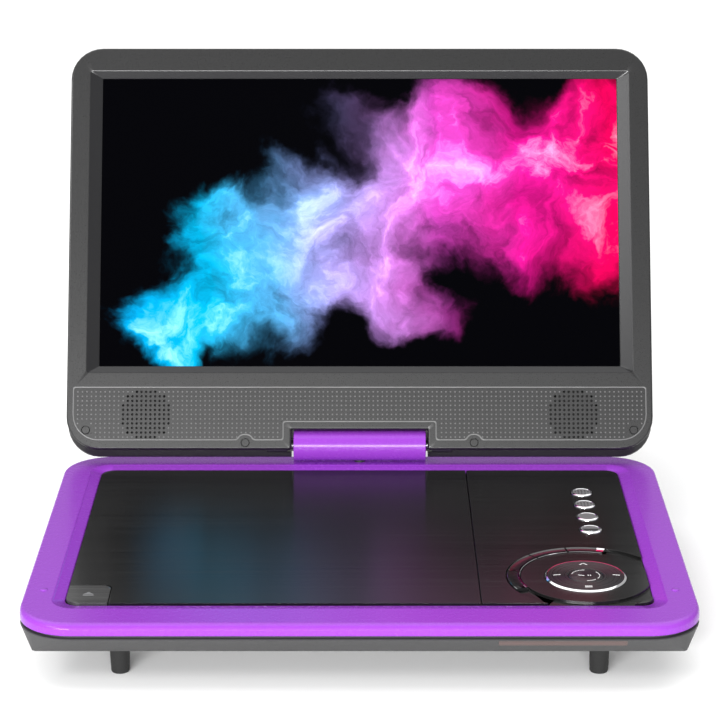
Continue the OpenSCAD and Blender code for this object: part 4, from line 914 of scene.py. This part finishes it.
def buildHinge():
    s = barrelSettings
    at = hingeAt / mm
    radius, half, wall, edge = (s[key] for key in ("radius", "half", "wall", "edge"))
    bm = bmesh.new()
    bore = s["pinRadius"] + 0.1
    lathe(bm, [(bore, -half), (radius - edge, -half), (radius - edge * 0.3, -half + edge * 0.3),
               (radius, -half + edge), (radius, half - edge), (radius - edge * 0.3, half - edge * 0.3),
               (radius - edge, half), (bore, half), (bore, half - wall), (radius - wall, half - wall),
               (radius - wall, -half + wall), (bore, -half + wall), (bore, -half)],
          at=at, turn=across, steps=96)
    hole = bmesh.new()
    rod(hole, s["postHole"], 12, (at.x, at.y, at.z - 6))
    finishPiece("barrel", carve(bm, hole), "head", ["purpleGloss"], ["hinge_barrel"])
    bm = bmesh.new()
    pin, near, far = s["pinRadius"], s["pinNear"], nodeBox("tilt_pins")[1].x
    for side in (-1, 1):
        lathe(bm, [(0, near), (pin, near), (pin, far - 0.3), (pin - 0.3, far), (0, far)],
              at=(0, at.y, at.z), turn=Matrix.Rotation(math.radians(90 * side), 3, "Y"), steps=32)
    finishPiece("pins", bm, "head", ["steelDark"], ["tilt_pins"])
    copyNode("lid_brackets", "lid", "chipBlack", rounding=0.1)


buildHinge()
print("hinge built")

# ---- lid

lidSettings = dict(
    half=118.0, low=-2.0, backLow=-4.5, high=162.9, corner=13.0, face=6.0, bezelBack=3.8, split=1.0,
    back=-6.0, edge=0.7, wall=1.6, notchHalf=27.5, notchUp=5.95, notchRear=6.6, rearHalf=26.72,
    rearStep=-2.0, notchRound=0.6, screenHalf=105.25, screenLow=31.7, screenHigh=150.5, bevelSide=5.05,
    bevelEnd=2.9, panelHalf=115.5, panelLow=1.4, panelHigh=23.2, panelCorner=10.5, panelTopCorner=1.0,
    panelNotchHalf=30.5, panelNotchUp=8.8, beadWide=0.50, beadHigh=0.16, capR=1.8, capSink=0.8,
    caps=((46.0, 0.5), (110.2, 5.6)), capBump=3.1, speakerUp=11.9, speakerIn=10.0, holeR=0.5, holeSteps=47,
    holeRows=5, holeReach=32)


def mirrored(right):
    return [(-x, y, radius) for x, y, radius in reversed(right)] + right


def faceOutline(bm, inset, height):  # the lid's front outline, with the notch for the barrel
    s = lidSettings
    half, low, high, corner = s["half"] - inset, s["low"] + inset, s["high"] - inset, s["corner"] - inset
    notch, up, small = s["notchHalf"] + inset, s["notchUp"] + inset, s["notchRound"]
    return outline(bm, mirrored([(notch, up, small), (notch, low, small), (half, low, corner),
                                 (half, high, corner)]),
                   height)


def panelOutline(bm, inset, height):  # the grooved field round the speakers, rising over two caps
    s = lidSettings
    half, low, high = s["panelHalf"] - inset, s["panelLow"] + inset, s["panelHigh"] - inset
    notch, up = s["panelNotchHalf"] + inset, s["panelNotchUp"] + inset
    capX, capUp = s["caps"][0]
    bump, rise = s["capBump"] + inset, capUp + s["capBump"] + inset
    return outline(bm, mirrored([
        (notch, up, 1.0), (notch, low, 1.0), (capX - bump, low, 0.8), (capX - bump * 0.55, rise, 1.4),
        (capX + bump * 0.55, rise, 1.4), (capX + bump, low, 0.8), (half, low, s["panelCorner"] - inset),
        (half, high, s["panelTopCorner"])]), height)


def speakerHoles():  # the grille's middle, its pitch, and each hole's steps from the middle
    s = lidSettings
    speakerX = nodeBox("speakers")[1].x - s["speakerIn"]
    rows = range(-s["holeRows"], s["holeRows"] + 1)
    spots = [(i, j) for i in rows for j in rows if i * i + j * j <= s["holeReach"]]
    return speakerX, speakerX / s["holeSteps"], spots


def bridgeIn(bm, loops, material):  # joins loops with faces of one finish
    before = set(bm.faces)
    bridge(bm, loops)
    for face in set(bm.faces) - before:
        face.material_index = material


def buildBezel():
    s = lidSettings
    bm = bmesh.new()
    face, edge, rear, split = s["face"], s["edge"], s["bezelBack"], s["split"]
    outer = [faceOutline(bm, inset, height) for inset, height in (
        (s["wall"], rear), (s["wall"], split), (0, split), (0, face - edge), (edge * 0.13, face - edge * 0.5),
        (edge * 0.5, face - edge * 0.13), (edge, face))]
    bridge(bm, outer)

    def window(side, end, radius, height):
        return evenRect(bm, s["screenHalf"] + side, s["screenLow"] - end, s["screenHigh"] + end, radius,
                        height)

    side, end = s["bevelSide"], s["bevelEnd"]
    sill = [window(side + 0.15, end + 0.15, 1.0, face), window(side - 0.12, end - 0.08, 0.9, face - 0.07),
            window(0.25, 0.15, 0.4, rear + 0.35), window(0, 0, 0.3, rear + 0.2), window(0, 0, 0.3, rear)]
    bridge(bm, sill[:2])
    bridgeIn(bm, sill[1:], 2)
    wide, high = s["beadWide"], s["beadHigh"]
    bead = [panelOutline(bm, wide * part, face + high * rise)
            for part, rise in ((0, 0), (0.2, 0.8), (0.5, 1), (0.8, 0.8), (1, 0))]
    # the bead round the grooved field takes the second finish, a painted highlight line
    bridgeIn(bm, bead, 1)
    fillFlat(bm, outer[-1] + sill[0] + bead[0] + capLoops(bm, 0))
    speakerX, pitch, spots = speakerHoles()
    tops, bottoms = [], []
    for side in (-1, 1):
        for i, j in spots:
            x, y = side * (speakerX + i * pitch), s["speakerUp"] + j * pitch
            tops.append(ring(bm, x, y, face, s["holeR"], 12))
            bottoms.append(ring(bm, x, y, rear, s["holeR"], 12))
            bridge(bm, [tops[-1], bottoms[-1]])
    fillFlat(bm, bead[-1] + sum(tops, []) + capLoops(bm, 1))
    fillFlat(bm, outer[0] + sill[-1] + sum(bottoms, []))
    finishPiece("bezel", bm, "lid", ["lidPlastic", "lidPaintedHighlight", "lidBevel"], ["front_bezel"],
                place=lidPlace, flatAbove=2.0)


def capLoops(bm, index):  # sinks for two screw caps, left and right
    s = lidSettings
    x, up = s["caps"][index]
    loops = []
    for side in (-1, 1):
        top = ring(bm, side * x, up, s["face"], s["capR"], 32)
        bottom = ring(bm, side * x, up, s["face"] - s["capSink"], s["capR"], 32)
        bridge(bm, [top, bottom])
        fillOne(bm, bottom)
        loops += top
    return loops


def buildCaps():
    s = lidSettings
    bm = bmesh.new()
    radius, face, foot = s["capR"] - 0.12, s["face"], s["face"] - s["capSink"] + 0.02
    for x, up in s["caps"]:
        for side in (-1, 1):
            lathe(bm, [(0, face - 0.05), (radius - 0.25, face - 0.05), (radius, face - 0.25), (radius, foot),
                       (0, foot)], at=(side * x, up, 0), steps=32)
    finishPiece("caps", bm, "lid", ["lidPlastic"], ["screw_caps"], place=lidPlace)


bumpSettings = dict(radius=0.36, crown=0.20, high=0.20, sides=8, clear=1.1, capClear=1.5)


def buildGrilleBumps():
    s, bump = lidSettings, bumpSettings
    speakerX, pitch, spots = speakerHoles()
    clear, height = bump["clear"], s["face"] + bump["high"] / 2 - 0.01
    corner = Vector((s["panelHalf"] - s["panelCorner"], s["panelLow"] + s["panelCorner"]))
    columns = int((s["panelHalf"] - 1.2 - speakerX) / pitch)
    bm = bmesh.new()
    for column in range(-s["holeSteps"], columns + 1):
        for row in range(-s["holeRows"], s["holeRows"] + 1):
            x, up = speakerX + column * pitch, s["speakerUp"] + row * pitch
            past = Vector((x, up)) - corner
            beyond = past.x > 0 > past.y and past.length > s["panelCorner"] - clear
            nearCap = any(math.hypot(x - capX, up - capUp) < s["capR"] + bump["capClear"]
                          for capX, capUp in s["caps"])
            inNotch = x < s["panelNotchHalf"] + clear and up < s["panelNotchUp"] + clear
            if (column, row) in spots or beyond or nearCap or inNotch:
                continue
            for side in ((-1, 1) if x > 0.3 else (1,)):
                bmesh.ops.create_cone(bm, cap_ends=True, segments=bump["sides"], radius1=bump["radius"],
                                      radius2=bump["crown"], depth=bump["high"],
                                      matrix=Matrix.Translation((side * x, up, height)))
    # the bumps take the light grey painted highlight finish
    finishPiece("grille_bumps", bm, "lid", ["lidPaintedHighlight"], place=lidPlace, smoothBelow=80)


def buildBack():
    s = lidSettings
    bm = bmesh.new()
    corner, low, back, wall, split, foot = (
        s[key] for key in ("corner", "backLow", "back", "wall", "split", "low"))

    def form(inset, front, height, radius):
        return evenRect(bm, s["half"] - inset, front, s["high"] - inset, radius, height)

    outside = [form(0, foot, split, corner), form(0, low + 0.3, -0.6, corner)]
    for inset, up, height, lost in ((0, 0, -2.0, 0), (0.35, 0.35, -2.7, 0), (1.5, 1.4, -3.3, 1),
                                    (4.5, 4.3, -4.25, 1.5),
                                    (9, 9, -5.2, 2), (13, 13, -5.75, 2), (18, 18, back, 3)):
        outside.append(form(inset, low + up, height, corner - lost))
    inside = [form(18.5, low + 18.5, back + wall, corner - 4),
              form(9.0, low + 9.0, -5.2 + wall, corner - 2.5),
              form(wall + 1.2, low + wall + 1.2, -2.4 + wall * 0.4, corner - 2),
              form(wall, foot + wall, split, corner - wall)]
    for loops in (outside, inside, [outside[0], inside[-1]]):
        bridge(bm, loops)
    fillOne(bm, outside[-1])
    fillOne(bm, inside[0])
    notch, up, rear, step, floor = s["notchHalf"], s["notchRear"], s["rearHalf"], s["rearStep"], -4.4
    near, far = rear - 0.1, notch + wall
    for places, operation in (  # cheeks and a shelf are added, then the notch and the lugs' way are cut
            ([(*cheek, foot + 1, 11, floor, split) for cheek in ((-far, -near), (near, far))], "UNION"),
            ([(-notch - 0.5, notch + 0.5, up - 0.1, up + wall, floor, split - 0.02)], "UNION"),
            ([(-notch, notch, -12, step, -12, 12)], "DIFFERENCE"),
            ([(-rear, rear, step - 1, up, -12, 12)], "DIFFERENCE"),
            ([(-notch - 9.9, notch + 9.9, -2.85, 2.85, -2.85, 12)], "DIFFERENCE")):
        tool = bmesh.new()
        for place in places:
            block(tool, *place)
        bm = carve(bm, tool, operation)
    finishPiece("back", bm, "lid", ["backPlastic"], ["back_shell"], place=lidPlace,
                smoothBelow=25)


def buildScreen():
    s = lidSettings
    bm = bmesh.new()
    lap = 1.8
    block(bm, -s["screenHalf"] - lap, s["screenHalf"] + lap, s["screenLow"] - lap, s["screenHigh"] + lap,
          s["bezelBack"] - 1.2, s["bezelBack"] - 0.05, 0.1)
    finishPiece("screen", bm, "lid", ["screenPicture"], ["lcd_panel"], place=lidPlace)


buildBezel()
buildCaps()
buildGrilleBumps()
buildBack()
buildScreen()
print("lid built")

# ---- parts kept from the frame, with their finishes

keptFinishes = dict(
    windowTint=["ir_window"], packWrap=["battery_pack"], lensClear=["pickup_lens"], brass=["lead_screw"],
    chipBlack=["ir_receiver", "board_chips", "pickup_sled", "swivel_post"],
    boardGreen=["main_board", "key_board", "screen_board"], whitePlastic=["cover_latch", "backlight"],
    socketBlack=["audio_jacks", "dc_jack", "power_switch", "volume_wheel"],
    steel=["key_domes", "usb_socket", "card_slot", "switch_case", "case_screws", "latch_spring",
           "drive_chassis",
           "spindle_motor", "hub_balls", "guide_rods", "sled_motor"],
    steelDark=["hinge_bracket", "swivel_clip", "hinge_core"], trayPlastic=["disc_hub", "deck_tray"],
    rubberBlack=["drive_grommets", "platter_pad", "speakers"])

for finishName, nodes in keptFinishes.items():
    for part in (frame["nodes"][node] for node in nodes):
        if not part.material_slots:
            part.data.materials.append(finishes[finishName])
        for place in part.material_slots:
            place.material = finishes[finishName]
copyNode("deck_tray", "base", "trayPlastic")
print("kept parts finished")
